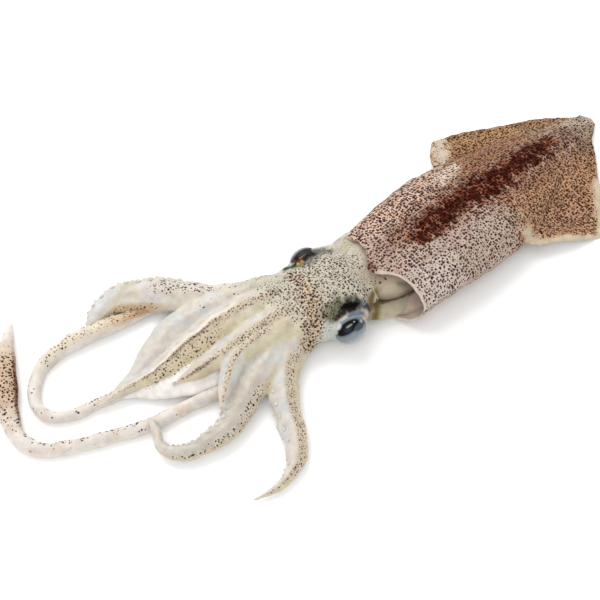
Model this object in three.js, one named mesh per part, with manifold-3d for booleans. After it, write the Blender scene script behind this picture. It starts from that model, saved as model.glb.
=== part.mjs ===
// A whole raw squid lying belly down on a flat surface, as one solid with its two eyes.
// Millimetres. +X runs along the mantle to the tail, +Y to the animal's right, +Z up.
// x = 0 is the mantle's opening in the squid's own frame; the finished part is shifted
// so that its origin lies under the middle of its bounding box.

import * as THREE from 'three';
import { mergeVertices } from 'three/addons/utils/BufferGeometryUtils.js';
import Module from 'manifold-3d';

const wasm = await Module();
wasm.setup();

// ---------------------------------------------------------------- driving dimensions

const MANTLE = {
  length: 146, // opening to tail, without the dorsal lobe
  halfWidth: [26, 28, 29.8, 27.8, 21, 13.5, 7, 3],
  ridge: [23, 24, 21.5, 18, 14.5, 11, 7.5, 4.5], // height of the back above the surface
  bend: [0.8, 0.3, -0.2, -1.2, 0.1, 0.5, 0, 0], // sideways wander of the middle line
  squareness: 2.3, // 2 is an ellipse, more is boxier
  sink: 0.8, // the belly presses flat over this depth
  wall: 2.6,
  lobe: 11, // how far the middle of the back reaches over the head
  lobeWidth: 7,
  bellyLip: 4,
  cheeks: { right: 4, left: 2.5 }, // how far each side of the edge reaches forward
  hollow: 26, // depth of the hollow round the neck
  around: 30,
  outerRings: 15,
  lipRings: 4,
  innerRings: 4,
};

const FINS = {
  right: { side: 1, reach: 45, corner: 80, bow: 1.25, lift: 1.5, bulge: 1 },
  left: { side: -1, reach: 50, corner: 93, bow: 1.05, lift: 5, bulge: 6.5 },
  frontRoot: 62,
  rear: 146,
  overlap: 0.12, // how far each blade runs past the middle line, as a share of its reach
  frontSweep: 4, // power of the front edge's curve
  bulgeSpan: 0.64, // the front edge bulges forward here, as a share of the reach
  bulgeWidth: 0.14,
  rootShare: 0.45, // height of the root over the surface, as a share of the mantle's
  rootThicknessShare: 0.3,
  edgeThickness: 1.8,
  waveHeight: 1.1,
  waveLength: 31,
  rings: 9,
  around: 20,
};

const HEAD = {
  route: [[30, 1.5, 10.5], [16, 3, 10.7], [2, 5, 11], [-12, 8, 11.3], [-26, 11.5, 11],
    [-40, 16, 10], [-54, 21, 8.5]],
  wide: [17, 17.3, 17.3, 18.5, 20.5, 19, 13],
  tall: [8.5, 9, 9.8, 11.2, 11.2, 9.6, 6],
  rings: 16,
  around: 22,
};

const FUNNEL = {
  route: [[18, -6, 8], [4, -9, 7.5], [-9, -7, 6], [-22, 0, 5]],
  wide: [11, 12, 9, 5],
  tall: [6.5, 7, 5.5, 4],
  rings: 9,
  around: 16,
};

const EYE = {
  radius: 7.5,
  gap: 0.3, // clearance of the globe in its socket
  left: { centre: [-31, -7.5, 10.8], gaze: [-0.28, -0.88, 0.38] },
  right: { centre: [-20.5, 28.5, 11.3], gaze: [0.25, 0.85, 0.45] },
  lid: 9, // radius of the swelling that holds the globe
  lidInset: 3, // the swelling's middle lies this far behind the globe's
  segments: 16,
  rings: 11,
};

// Each limb is a route of its middle line from the head to its tip, with half-widths and
// half-heights evenly spaced along it.
const ARMS = {
  arm_right_1: {
    route: [[-24, 12, 12], [-46, 25.5, 13.4], [-66, 32, 11], [-86, 34, 9], [-104, 34.5, 7],
      [-119, 38.5, 5], [-131, 41, 4]],
    wide: [5, 7.5, 7.2, 6.8, 5.2, 3.2, 1.2],
    tall: [5, 5.5, 5.2, 4.6, 3.6, 2.6, 1.1],
  },
  arm_left_1: {
    route: [[-24, 10, 12], [-45, 15, 13.4], [-64, 18, 11.4], [-79, 20.5, 9.8], [-92, 22.5, 8],
      [-102, 25.5, 6.5]],
    wide: [5, 7.5, 7.6, 7, 4.8, 1.2],
    tall: [5, 5.5, 5.2, 4.4, 3, 1.1],
  },
  arm_right_2: {
    route: [[-24, 16, 11], [-46, 33.5, 10], [-68, 43, 7.5], [-86, 46, 6], [-98, 43, 5],
      [-112, 40, 4.5], [-127, 41, 4]],
    wide: [6.5, 7.5, 8, 8, 7, 4.8, 1.5],
    tall: [6, 6, 5.5, 5, 4, 3, 1.2],
  },
  arm_left_2: {
    route: [[-23, 8, 11], [-46, 9.5, 12], [-66, 14.5, 11.5], [-79, 13, 11], [-89, 7, 10],
      [-97, 1, 8]],
    wide: [5, 6.8, 6.4, 5.8, 4.2, 1.3],
    tall: [5, 5.5, 5, 4.2, 3, 1.1],
  },
  arm_right_3: {
    route: [[-26, 20, 8], [-43, 33, 7], [-58, 46, 5.5], [-70, 60, 5], [-80, 70.5, 5],
      [-89.5, 76.4, 5], [-99, 76.8, 4.5], [-110, 71.5, 4]],
    wide: [6.5, 7, 7.2, 7.8, 9, 8.6, 5.8, 1.5],
    tall: [6, 5.5, 5, 4.8, 4.5, 4, 3.2, 1.2],
  },
  arm_left_3: {
    route: [[-23, 6, 9], [-48, 6.5, 8.5], [-69, 5.5, 7], [-86, 0.2, 6], [-99, -3.5, 5.5],
      [-111, -3.5, 5], [-120, -0.5, 4.5], [-124.5, 7, 5], [-121, 15, 6], [-119.5, 22, 6.5]],
    wide: [6.5, 8, 9, 8.2, 6.6, 4.7, 4, 3.4, 2.4, 1.2],
    tall: [6, 6, 5.5, 5, 4.6, 4, 3.5, 3, 2.4, 1.1],
  },
  arm_left_4: {
    route: [[-23, 4, 8], [-46, 5, 6.6], [-60, 1, 5.5], [-71, -9, 5], [-78, -19, 5], [-83, -28, 4.6],
      [-91, -36, 4], [-102.6, -38.2, 3], [-114, -35, 1.6]],
    wide: [6.5, 7.5, 7.6, 6.8, 6.2, 5.6, 4.2, 2.2, 0.8],
    tall: [6, 6, 5.5, 5, 5, 4.6, 3.8, 2.2, 0.8],
  },
  arm_right_4: {
    route: [[-27, 14, 6], [-50, 19, 5], [-70, 19, 4.8], [-88, 21.5, 4.2], [-103, 28, 3.5],
      [-114, 36, 3], [-125, 42.5, 2.6]],
    wide: [6.5, 7.5, 8, 8.8, 7.2, 4.4, 1.3],
    tall: [6, 5.2, 4.8, 4.2, 3.6, 3, 1.2],
  },
};

const TENTACLES = {
  tentacle_right: {
    route: [[-34, 18, 8], [-60, 27, 5], [-90, 33, 3.2], [-114, 38.5, 2.6], [-130, 43, 2.6],
      [-140, 46, 2.6], [-147, 52, 2.6], [-147.5, 60, 2.6], [-142, 68, 2.6], [-133, 73.5, 2.6],
      [-121, 74, 3.4], [-108, 71, 4], [-92, 66, 4], [-78, 61, 3]],
    wide: [3, 3, 2.8, 2.7, 2.7, 2.7, 2.7, 2.7, 2.7, 3, 3.8, 4.3, 3.5, 0.9],
    tall: [2.8, 2.8, 2.6, 2.5, 2.5, 2.5, 2.5, 2.5, 2.5, 2.7, 3.3, 3.6, 2.9, 0.8],
  },
  tentacle_left: {
    route: [[-34, 8, 7], [-60, 7.5, 3.4], [-82, 10, 2.8], [-102, 15, 2.8], [-121, 20, 2.8],
      [-137, 27.5, 2.8], [-150, 34.5, 2.8], [-159.5, 42, 2.8], [-162.5, 52, 2.8], [-159.5, 62, 3],
      [-154, 71, 3.5], [-147, 81, 4], [-139, 91, 3.6], [-129, 101, 2]],
    wide: [3.2, 3.2, 3, 3, 3, 3, 3, 3, 3.1, 3.4, 4.4, 5, 3.8, 0.9],
    tall: [3, 3, 2.8, 2.7, 2.7, 2.7, 2.7, 2.7, 2.8, 3, 3.6, 3.8, 2.8, 0.8],
  },
};

// Suckers stand in two rows on one face of a limb; 0 degrees faces left of its route, 90 up.
const SUCKERS = {
  rowSpread: 24, // degrees to each side of the face's middle
  sides: 6,
  profile: [[0, -0.8], [1, 0.1], [0.8, 0.7], [0, 0.35]], // in sucker radii
  rows: [
    { limb: 'arm_right_3', from: 0.4, to: 0.97, pairs: 10, face: 165, size: 1.9, tipSize: 0.8 },
    { limb: 'arm_left_3', from: 0.42, to: 0.9, pairs: 8, face: 160, size: 1.8, tipSize: 0.8 },
    { limb: 'arm_left_4', from: 0.3, to: 0.85, pairs: 8, face: 160, size: 1.7, tipSize: 0.7 },
    { limb: 'tentacle_right', from: 0.8, to: 0.98, pairs: 4, face: 0, size: 1.5, tipSize: 0.7 },
    { limb: 'tentacle_left', from: 0.78, to: 0.98, pairs: 6, face: 0, size: 1.7, tipSize: 0.8 },
  ],
};

const LIMB_SINK = 0.4; // a limb's underside presses flat over this depth
const ARM_MESH = { rings: 19, around: 9 };
const TENTACLE_MESH = { rings: 37, around: 7 };
const SURFACE_CUT = { width: 600, depth: 40 }; // what lies below the surface is cut away flat
const ORIGIN = { x: -9.5, y: 25.5 }; // middle of the finished part's footprint in the squid's own frame

const COLOURS = {
  skin: { color: '#c9ab90', roughness: 0.35 },
  eye: { color: '#1b2233', roughness: 0.1 },
};

// ---------------------------------------------------------------- small helpers

/** Value at t (0 to 1) on a smooth curve through evenly spaced values. */
function along(values, t) {
  const last = values.length - 1;
  const place = Math.min(Math.max(t, 0), 1) * last;
  const i = Math.min(Math.floor(place), last - 1);
  const f = place - i;
  const at = (k) => values[Math.min(Math.max(k, 0), last)];
  const [a, b, c, d] = [at(i - 1), at(i), at(i + 1), at(i + 2)];
  return b + 0.5 * f * (c - a + f * (2 * a - 5 * b + 4 * c - d + f * (3 * (b - c) + d - a)));
}

/** A power that keeps the sign of its base. */
function signedPower(base, power) {
  return Math.sign(base) * Math.abs(base) ** power;
}

/** Turns a closed geometry into a solid, its faces pointing out. */
function solid(geometry) {
  geometry.deleteAttribute('normal');
  geometry.deleteAttribute('uv');
  const merged = mergeVertices(geometry, 1e-4);
  const points = merged.attributes.position;
  const triangles = Array.from(merged.index.array);
  const corner = (i) => new THREE.Vector3().fromBufferAttribute(points, triangles[i]);
  let volume = 0;
  for (let i = 0; i < triangles.length; i += 3) {
    volume += corner(i).dot(corner(i + 1).cross(corner(i + 2)));
  }
  if (volume < 0) {
    triangles.reverse();
  }
  return new wasm.Manifold(new wasm.Mesh({
    numProp: 3,
    vertProperties: new Float32Array(points.array),
    triVerts: new Uint32Array(triangles),
  }));
}

/** Closed skin over rings: place(ring, angle) is a point, and the first and last ring are poles. */
function skin(rings, around, place) {
  const geometry = new THREE.SphereGeometry(1, around, rings);
  const { position, uv } = geometry.attributes;
  for (let i = 0; i < position.count; i += 1) {
    const ring = Math.round((1 - uv.getY(i)) * rings);
    const turn = Math.round(uv.getX(i) * around) % around;
    const point = place(ring, (turn / around) * 2 * Math.PI);
    position.setXYZ(i, point.x, point.y, point.z);
  }
  return solid(geometry);
}

/** Middle line of a limb, with an upright frame at every place along it. */
function middleLine(route) {
  const points = route.map((point) => new THREE.Vector3(...point));
  const curve = new THREE.CatmullRomCurve3(points, false, 'centripetal');
  return (t) => {
    const middle = curve.getPointAt(t);
    middle.z -= LIMB_SINK;
    const ahead = curve.getTangentAt(t);
    const side = new THREE.Vector3(0, 0, 1).cross(ahead).normalize();
    const up = ahead.clone().cross(side);
    return { middle, ahead, side, up };
  };
}

/** A limb: an oval section swept along its route, pointed at both ends. */
function limb({ route, wide, tall }, { rings, around }) {
  const frameAt = middleLine(route);
  return skin(rings, around, (ring, angle) => {
    const t = ring / rings;
    const { middle, side, up } = frameAt(t);
    if (ring === 0 || ring === rings) {
      return middle;
    }
    return middle
      .addScaledVector(side, along(wide, t) * Math.cos(angle))
      .addScaledVector(up, along(tall, t) * Math.sin(angle));
  });
}

// ---------------------------------------------------------------- mantle

/** Point of the mantle's skin at x and angle (a quarter turn is the ridge), moved inwards by inset. */
function mantlePoint(x, angle, inset) {
  const t = x / MANTLE.length;
  const ridge = along(MANTLE.ridge, t);
  const half = Math.max(along(MANTLE.halfWidth, t) - inset, 0);
  const middle = (ridge - MANTLE.sink) / 2;
  const rise = Math.max((ridge + MANTLE.sink) / 2 - inset, 0);
  const power = 2 / MANTLE.squareness;
  return new THREE.Vector3(
    x,
    along(MANTLE.bend, t) + half * signedPower(Math.cos(angle), power),
    middle + rise * signedPower(Math.sin(angle), power),
  );
}

/** Where the front edge stands at an angle: a lobe over the head and a lip under the belly. */
function frontEdge(angle) {
  const sideways = Math.abs(MANTLE.halfWidth[0] * Math.cos(angle));
  const { right, left } = MANTLE.cheeks;
  const cheek = -right * Math.max(Math.cos(angle), 0) ** 3 - left * Math.max(-Math.cos(angle), 0);
  if (Math.sin(angle) > 0) {
    return cheek - MANTLE.lobe * Math.exp(-((sideways / MANTLE.lobeWidth) ** 1.3));
  }
  return cheek - MANTLE.bellyLip * Math.sin(angle) ** 2;
}

/** The mantle as a cup: over the outside from the tail, round the lip and back into the hollow. */
function mantle() {
  const { outerRings, lipRings, innerRings, wall, length, hollow } = MANTLE;
  const rings = outerRings + lipRings + innerRings;
  return skin(rings, MANTLE.around, (ring, angle) => {
    const edge = frontEdge(angle);
    const lipRadius = wall / 2;
    if (ring === 0) {
      return new THREE.Vector3(length, 0, along(MANTLE.ridge, 1) / 2);
    }
    if (ring <= outerRings) {
      const reach = (edge + lipRadius - length) * (ring / outerRings);
      return mantlePoint(length + reach, angle, 0);
    }
    if (ring <= outerRings + lipRings) {
      const turn = ((ring - outerRings) / lipRings) * Math.PI;
      const x = edge + lipRadius * (1 - Math.sin(turn));
      return mantlePoint(x, angle, lipRadius * (1 - Math.cos(turn)));
    }
    const inward = (ring - outerRings - lipRings) / innerRings;
    if (ring === rings) {
      return new THREE.Vector3(hollow, 0, along(MANTLE.ridge, 0) / 2);
    }
    return mantlePoint(edge + lipRadius + (hollow - edge) * inward, angle, wall + 6 * inward ** 3);
  });
}

// ---------------------------------------------------------------- fins

/** One fin: a thin wavy blade whose chord shrinks from the middle of the body to its corner. */
function fin({ side, reach, corner, bow, lift, bulge }) {
  const { frontRoot } = FINS;
  return skin(FINS.rings, FINS.around, (ring, angle) => {
    const across = (ring / FINS.rings) * (1 + FINS.overlap) - FINS.overlap;
    const span = Math.max(across, 0);
    const bulging = bulge * Math.exp(-(((span - FINS.bulgeSpan) / FINS.bulgeWidth) ** 2));
    const front = frontRoot + (corner - frontRoot) * span ** FINS.frontSweep - bulging;
    const rear = FINS.rear - (FINS.rear - corner) * span ** bow;
    const open = ring === 0 || ring === FINS.rings ? 0 : 1;
    const x = (front + rear) / 2 + open * ((rear - front) / 2) * Math.cos(angle);
    const ridge = along(MANTLE.ridge, x / MANTLE.length);
    const thickness = FINS.rootThicknessShare * ridge * (1 - span) + FINS.edgeThickness * span;
    const wave = FINS.waveHeight * span * Math.sin((2 * Math.PI * x) / FINS.waveLength + side);
    const frontLift = lift * span * (1 - span) * 4 * Math.exp(-(((x - front) / 14) ** 2));
    const root = FINS.rootShare * ridge * (1 - span) ** 2;
    const middle = thickness / 2 + root + wave + frontLift;
    return new THREE.Vector3(x, side * reach * across, middle + open * (thickness / 2) * Math.sin(angle));
  });
}

// ---------------------------------------------------------------- eyes

/** A ball of the eye's fineness. */
function ball(radius, centre) {
  const geometry = new THREE.SphereGeometry(radius, EYE.segments, EYE.rings);
  geometry.translate(...centre);
  return solid(geometry);
}

/** The swelling of the head that holds an eye, behind the globe as it looks out. */
function lid({ centre, gaze }) {
  const behind = new THREE.Vector3(...gaze).setLength(-EYE.lidInset);
  return ball(EYE.lid, new THREE.Vector3(...centre).add(behind).toArray());
}

// ---------------------------------------------------------------- suckers

/** One sucker: a low cup with a dimple, standing at a place along an outward direction. */
function sucker(place, outward, radius) {
  const profile = SUCKERS.profile.map(([r, h]) => new THREE.Vector2(r * radius, h * radius));
  const geometry = new THREE.LatheGeometry(profile, SUCKERS.sides);
  const turn = new THREE.Quaternion().setFromUnitVectors(new THREE.Vector3(0, 1, 0), outward);
  geometry.applyQuaternion(turn);
  geometry.translate(place.x, place.y, place.z);
  return solid(geometry);
}

/** Two rows of suckers along one limb, shrinking towards its tip. */
function suckerRows({ limb: name, from, to, pairs, face, size, tipSize }) {
  const { route, wide, tall } = { ...ARMS, ...TENTACLES }[name];
  const frameAt = middleLine(route);
  const cups = [];
  for (let i = 0; i < 2 * pairs; i += 1) {
    const share = i / (2 * pairs - 1);
    const t = from + (to - from) * share;
    const row = i % 2 === 0 ? 1 : -1;
    const angle = THREE.MathUtils.degToRad(face + row * SUCKERS.rowSpread);
    const { middle, side, up } = frameAt(t);
    const skinPoint = middle.clone()
      .addScaledVector(side, along(wide, t) * Math.cos(angle))
      .addScaledVector(up, along(tall, t) * Math.sin(angle));
    const outward = side.clone().multiplyScalar(Math.cos(angle) / along(wide, t))
      .addScaledVector(up, Math.sin(angle) / along(tall, t))
      .normalize();
    cups.push(sucker(skinPoint, outward, size + (tipSize - size) * share));
  }
  return cups;
}

// ---------------------------------------------------------------- joining

/** All the flesh in one solid, its eye sockets open and its underside cut flat. */
function body() {
  const pieces = [
    mantle(),
    fin(FINS.right),
    fin(FINS.left),
    limb(HEAD, HEAD),
    limb(FUNNEL, FUNNEL),
    lid(EYE.left),
    lid(EYE.right),
    ...Object.values(ARMS).map((arm) => limb(arm, ARM_MESH)),
    ...Object.values(TENTACLES).map((tentacle) => limb(tentacle, TENTACLE_MESH)),
    ...SUCKERS.rows.flatMap(suckerRows),
  ];
  const below = new THREE.BoxGeometry(SURFACE_CUT.width, SURFACE_CUT.width, SURFACE_CUT.depth);
  below.translate(0, 0, -SURFACE_CUT.depth / 2);
  const joined = pieces.reduce((whole, piece) => whole.add(piece));
  return joined
    .subtract(ball(EYE.radius + EYE.gap, EYE.left.centre))
    .subtract(ball(EYE.radius + EYE.gap, EYE.right.centre))
    .subtract(solid(below));
}

/** A named mesh of a solid, shifted so that the part's origin lies under its middle. */
function mesh(name, shape, { color, roughness }) {
  const { vertProperties, triVerts } = shape.getMesh();
  const geometry = new THREE.BufferGeometry();
  geometry.setAttribute('position', new THREE.BufferAttribute(vertProperties, 3));
  geometry.setIndex(new THREE.BufferAttribute(triVerts, 1));
  geometry.computeVertexNormals();
  const material = new THREE.MeshStandardMaterial({ color, roughness, metalness: 0 });
  const piece = new THREE.Mesh(geometry, material);
  piece.name = name;
  piece.position.set(-ORIGIN.x, -ORIGIN.y, 0);
  return piece;
}

const squid = new THREE.Group();
squid.add(mesh('squid', body(), COLOURS.skin));
squid.add(mesh('eye_left', ball(EYE.radius, EYE.left.centre), COLOURS.eye));
squid.add(mesh('eye_right', ball(EYE.radius, EYE.right.centre), COLOURS.eye));

export default squid;
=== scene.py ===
"""A whole raw squid lying belly down: mantle and fins, head and arms, tentacles, suckers and eyes.

Shapes are laid out in millimetres in the animal's own frame: x = 0 is the mantle's opening,
+x runs to the tail, +y to the animal's right and +z up. to_part turns them into metres in the
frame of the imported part.
"""

import logging
import math
from dataclasses import dataclass
from enum import Enum
from functools import cached_property, reduce
from typing import Any, Iterable

import bmesh
import bpy
import numpy as np
from mathutils import Matrix, Vector


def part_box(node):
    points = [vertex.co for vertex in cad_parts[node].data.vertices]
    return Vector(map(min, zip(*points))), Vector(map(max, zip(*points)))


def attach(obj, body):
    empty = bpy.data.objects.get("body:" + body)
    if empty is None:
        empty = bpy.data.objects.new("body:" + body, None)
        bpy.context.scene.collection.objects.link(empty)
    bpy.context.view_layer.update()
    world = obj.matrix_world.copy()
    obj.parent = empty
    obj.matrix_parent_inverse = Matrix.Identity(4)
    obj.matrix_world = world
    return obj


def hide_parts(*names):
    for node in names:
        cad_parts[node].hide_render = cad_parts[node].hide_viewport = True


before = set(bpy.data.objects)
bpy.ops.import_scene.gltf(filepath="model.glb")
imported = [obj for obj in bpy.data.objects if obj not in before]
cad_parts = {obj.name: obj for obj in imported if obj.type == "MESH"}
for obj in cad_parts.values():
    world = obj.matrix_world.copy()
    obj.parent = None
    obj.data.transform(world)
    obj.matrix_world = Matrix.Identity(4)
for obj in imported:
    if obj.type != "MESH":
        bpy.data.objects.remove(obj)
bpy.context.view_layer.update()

log = logging.getLogger("squid")

Array = np.ndarray
Point = tuple[float, float, float]
BMesh = bmesh.types.BMesh
Piece = bpy.types.Object
Material = bpy.types.Material
Socket = bpy.types.NodeSocket

MM = 0.001
BLEACH = 0.74  # the light bleaches the table, so colours are laid this much darker
GROUND = 0.02 * MM  # flesh stays this much above the table
COLOUR_LAYERS = ("tone", "ink")
NUMBER_LAYERS = ("spots", "crowd", "dust", "bloom")
BARE = {"spots": 0.0, "crowd": 0.0, "dust": 0.0}  # skin without pigment cells
LEFT_EYE: Point = (-31, -7.5, 10.8)  # mm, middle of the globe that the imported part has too
ORIGIN = np.array(LEFT_EYE) - np.array(sum(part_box("eye_left"), Vector()) / 2) / MM  # mm


# ---------------------------------------------------------------- colour and curves


def linear(colour: str) -> tuple[float, float, float, float]:
    """Turns a colour into the numbers that Blender works in.

    Args:
        colour: sRGB hex, such as "#c9ab90".

    Returns:
        Linear red, green and blue, and an alpha of 1.
    """
    channels = [int(colour[i:i + 2], 16) / 255 for i in (1, 3, 5)]
    red, green, blue = (c / 12.92 if c <= 0.04045 else ((c + 0.055) / 1.055) ** 2.4 for c in channels)
    return red, green, blue, 1.0


def ease(low: float | Array, high: float | Array, value: Array) -> Array:
    """Smooth step from 0 at low to 1 at high; low may be the larger one."""
    share = np.clip((value - low) / (high - low), 0.0, 1.0)
    return share * share * (3 - 2 * share)


def bell(offset: Array, width: float) -> Array:
    """1 where the offset is 0, falling to nothing over about twice the width."""
    return np.exp(-((offset / width) ** 2))


def signed_power(base: Array, power: float) -> Array:
    """A power that keeps the sign of its base."""
    return np.sign(base) * np.abs(base) ** power


def wander(points: Array, length: float, seed: float = 0.0) -> Array:
    """Uneven but smooth values, about -1 to 1, at places in space.

    Args:
        points: The places.
        length: How far apart the swells are, in the places' unit.
        seed: Another seed gives another pattern.

    Returns:
        One value for each place.
    """
    total = np.zeros(len(points))
    for turn, pace in ((0.4, 1.0), (1.9, 1.31), (3.3, 0.77), (4.6, 1.63), (5.7, 2.1)):
        tilt = turn * 2.3 + seed
        course = np.array([math.cos(turn + seed), math.sin(turn + seed), math.cos(tilt)])
        across = np.array([-math.sin(turn), math.cos(turn), math.sin(tilt)])
        bent = points @ course + 0.35 * length * np.sin(points @ across * (4.1 / length) + tilt)
        total += np.sin(bent * (2 * math.pi * pace / (2 * length)) + 7 * tilt)
    return total / 3.0


def along(values: tuple[float, ...], share: Array) -> Array:
    """Values at shares (0 to 1) of a smooth curve through evenly spaced values.

    Args:
        values: At least two values, evenly spaced along the curve.
        share: Where to read the curve.

    Returns:
        One value for each share.
    """
    knots = np.asarray(values, float)
    last = len(knots) - 1
    spot = np.clip(share, 0.0, 1.0) * last
    i = np.minimum(np.floor(spot).astype(int), last - 1)
    f = spot - i
    a, b, c, d = (knots[np.clip(i + k, 0, last)] for k in (-1, 0, 1, 2))
    return b + 0.5 * f * (c - a + f * (2 * a - 5 * b + 4 * c - d + f * (3 * (b - c) + d - a)))


@dataclass(frozen=True)
class Route:
    """A smooth line through a few places, read by its share of the whole length."""

    points: tuple[Point, ...]
    sink: float = 0.4  # mm that the whole line lies lower than its points
    per_span: int = 60

    @cached_property
    def line(self) -> tuple[Array, Array]:
        """Places close together on the line, and the share of the length at each."""
        knots = np.array(self.points, float)
        knots = np.vstack([2 * knots[0] - knots[1], knots, 2 * knots[-1] - knots[-2]])
        steps = np.sqrt(np.linalg.norm(np.diff(knots, axis=0), axis=1))
        f = np.linspace(0, 1, self.per_span, endpoint=False)[:, None]
        spans = []
        for i in range(1, len(knots) - 2):
            before, here, after = steps[i - 1], steps[i], steps[i + 1]
            p0, p1, p2, p3 = knots[i - 1:i + 3]
            out = ((p1 - p0) / before - (p2 - p0) / (before + here)) * here + (p2 - p1)
            into = (p2 - p1) + ((p3 - p2) / after - (p3 - p1) / (here + after)) * here
            spans.append(
                (2 * f**3 - 3 * f**2 + 1) * p1 + (f**3 - 2 * f**2 + f) * out
                + (3 * f**2 - 2 * f**3) * p2 + (f**3 - f**2) * into
            )
        places = np.vstack([*spans, knots[-2:-1]])
        lengths = np.r_[0, np.cumsum(np.linalg.norm(np.diff(places, axis=0), axis=1))]
        places[:, 2] -= self.sink
        return places, lengths / lengths[-1]

    @cached_property
    def length(self) -> float:
        """Length of the whole line."""
        places, _ = self.line
        return float(np.linalg.norm(np.diff(places, axis=0), axis=1).sum())

    def at(self, share: Array) -> tuple[Array, Array, Array]:
        """Middle of the line and an upright frame there.

        Args:
            share: Shares of the length.

        Returns:
            Places on the line, the sideways direction (the animal's left on a limb that runs
            forwards) and the upward one.
        """
        places, shares = self.line
        slope = np.gradient(places, shares, axis=0)
        read = lambda table: np.stack([np.interp(share, shares, table[:, k]) for k in range(3)], -1)
        middle, ahead = read(places), read(slope)
        ahead /= np.linalg.norm(ahead, axis=-1, keepdims=True)
        side = np.cross([0.0, 0.0, 1.0], ahead)
        side /= np.linalg.norm(side, axis=-1, keepdims=True)
        return middle, side, np.cross(ahead, side)


def to_part(points: Array) -> Array:
    """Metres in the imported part's frame for millimetres in the animal's."""
    return (points - ORIGIN) * MM


def to_animal(points: Array) -> Array:
    """Millimetres in the animal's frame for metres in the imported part's."""
    return points / MM + ORIGIN


# ---------------------------------------------------------------- making and fusing shells


def merge(target: BMesh, part: BMesh) -> None:
    """Adds one mesh to another and frees it."""
    mesh = bpy.data.meshes.new("part")
    part.to_mesh(mesh)
    part.free()
    target.from_mesh(mesh)
    bpy.data.meshes.remove(mesh)


def add_shell(flesh: BMesh, form: "Mantle | Fin | Limb | Web | Lump", *neighbours: Any) -> None:
    """Adds a closed shell: a ball whose rings are moved to where a form places them.

    Args:
        flesh: The mesh that the shell is added to, in millimetres.
        form: Says how many rings from pole to pole and corners around a ring there are, and
            places them by their share (0 and 1 are the poles) and angle.
        neighbours: What else the form needs to know to place them.
    """
    ball = bmesh.new()
    bmesh.ops.create_uvsphere(ball, u_segments=form.around, v_segments=form.rings, radius=1.0)
    out = np.array([vertex.co for vertex in ball.verts])
    share = np.round(np.arccos(np.clip(out[:, 2], -1, 1)) / math.pi * form.rings) / form.rings
    angle = np.arctan2(out[:, 1], out[:, 0])
    for vertex, point in zip(ball.verts, form.place(share, angle, *neighbours)):
        vertex.co = point
    merge(flesh, ball)


def rounded(share: Array, start: float, end: float) -> Array:
    """Share of the full radius at each place of a shell whose ends close as quarter rounds.

    Args:
        share: Where along the shell.
        start: Share of the length that the first end takes to open.
        end: Share of the length that the last end takes to close.

    Returns:
        0 at both poles and 1 between the ends.
    """
    opening = np.clip(share / start, 0, 1)
    closing = np.clip((1 - share) / end, 0, 1)
    return np.sqrt(1 - (1 - opening) ** 2) * np.sqrt(1 - (1 - closing) ** 2)


def new_piece(name: str, shape: BMesh) -> Piece:
    """Makes a smooth-shaded piece of a mesh in metres, and frees that mesh."""
    mesh = bpy.data.meshes.new(name)
    bmesh.ops.recalc_face_normals(shape, faces=shape.faces)
    shape.to_mesh(mesh)
    shape.free()
    mesh.shade_smooth()
    piece = bpy.data.objects.new(name, mesh)
    bpy.context.scene.collection.objects.link(piece)
    return piece


def piece_in_place(name: str, shape: BMesh, ground: float = -math.inf) -> Piece:
    """Makes a piece of a mesh in the animal's millimetres.

    Args:
        name: The piece's name.
        shape: The mesh; it is freed.
        ground: The lowest height that a corner may have, in metres.

    Returns:
        The piece, in metres of the part's frame.
    """
    for vertex in shape.verts:
        vertex.co = to_part(np.array(vertex.co))
        vertex.co.z = max(vertex.co.z, ground)
    return new_piece(name, shape)


def apply_modifiers(piece: Piece) -> None:
    """Turns a piece's modifiers into its mesh."""
    finished = bpy.data.meshes.new_from_object(piece.evaluated_get(bpy.context.evaluated_depsgraph_get()))
    piece.modifiers.clear()
    old, piece.data = piece.data, finished
    name = old.name
    bpy.data.meshes.remove(old)
    finished.name = name


def largest_island(shape: BMesh) -> list[bmesh.types.BMVert]:
    """Vertices of the biggest connected part of a mesh."""
    waiting, islands = set(shape.verts), []
    while waiting:
        stack, island = [waiting.pop()], []
        while stack:
            vertex = stack.pop()
            island.append(vertex)
            for edge in vertex.link_edges:
                other = edge.other_vert(vertex)
                if other in waiting:
                    waiting.remove(other)
                    stack.append(other)
        islands.append(island)
    return max(islands, key=len)


@dataclass(frozen=True)
class Fusing:
    """How overlapping shells become one seamless skin."""

    voxel: float
    passes: int
    ripples: tuple[tuple[float, float], ...]  # height and length of each, in mm

    def fuse(self, name: str, flesh: BMesh) -> Piece:
        """Joins shells into one skin, smooths it, ripples it and presses it flat underneath.

        Args:
            name: The piece's name.
            flesh: Overlapping closed shells in the animal's millimetres; it is freed.

        Returns:
            The finished piece.
        """
        piece = piece_in_place(name, flesh)
        remesh = piece.modifiers.new("fuse", "REMESH")
        remesh.mode = "VOXEL"
        remesh.voxel_size = self.voxel * MM
        apply_modifiers(piece)
        skin = bmesh.new()
        skin.from_mesh(piece.data)
        kept = set(largest_island(skin))
        loose = [vertex for vertex in skin.verts if vertex not in kept]
        bmesh.ops.delete(skin, geom=loose, context="VERTS")
        axes = {"use_axis_x": True, "use_axis_y": True, "use_axis_z": True}
        for _ in range(self.passes):
            bmesh.ops.smooth_vert(skin, verts=skin.verts, factor=0.5, **axes)
        skin.normal_update()
        places = np.array([vertex.co for vertex in skin.verts])
        normals = np.array([vertex.normal for vertex in skin.verts])
        lift = sum(height * wander(places, length * MM) for height, length in self.ripples) * MM
        places += normals * lift[:, None]
        places[:, 2] = np.maximum(places[:, 2], GROUND)
        skin.to_mesh(piece.data)
        skin.free()
        piece.data.vertices.foreach_set("co", places.astype(np.float32).ravel())
        piece.data.update()
        piece.data.shade_smooth()
        return piece


# ---------------------------------------------------------------- painting


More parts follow.
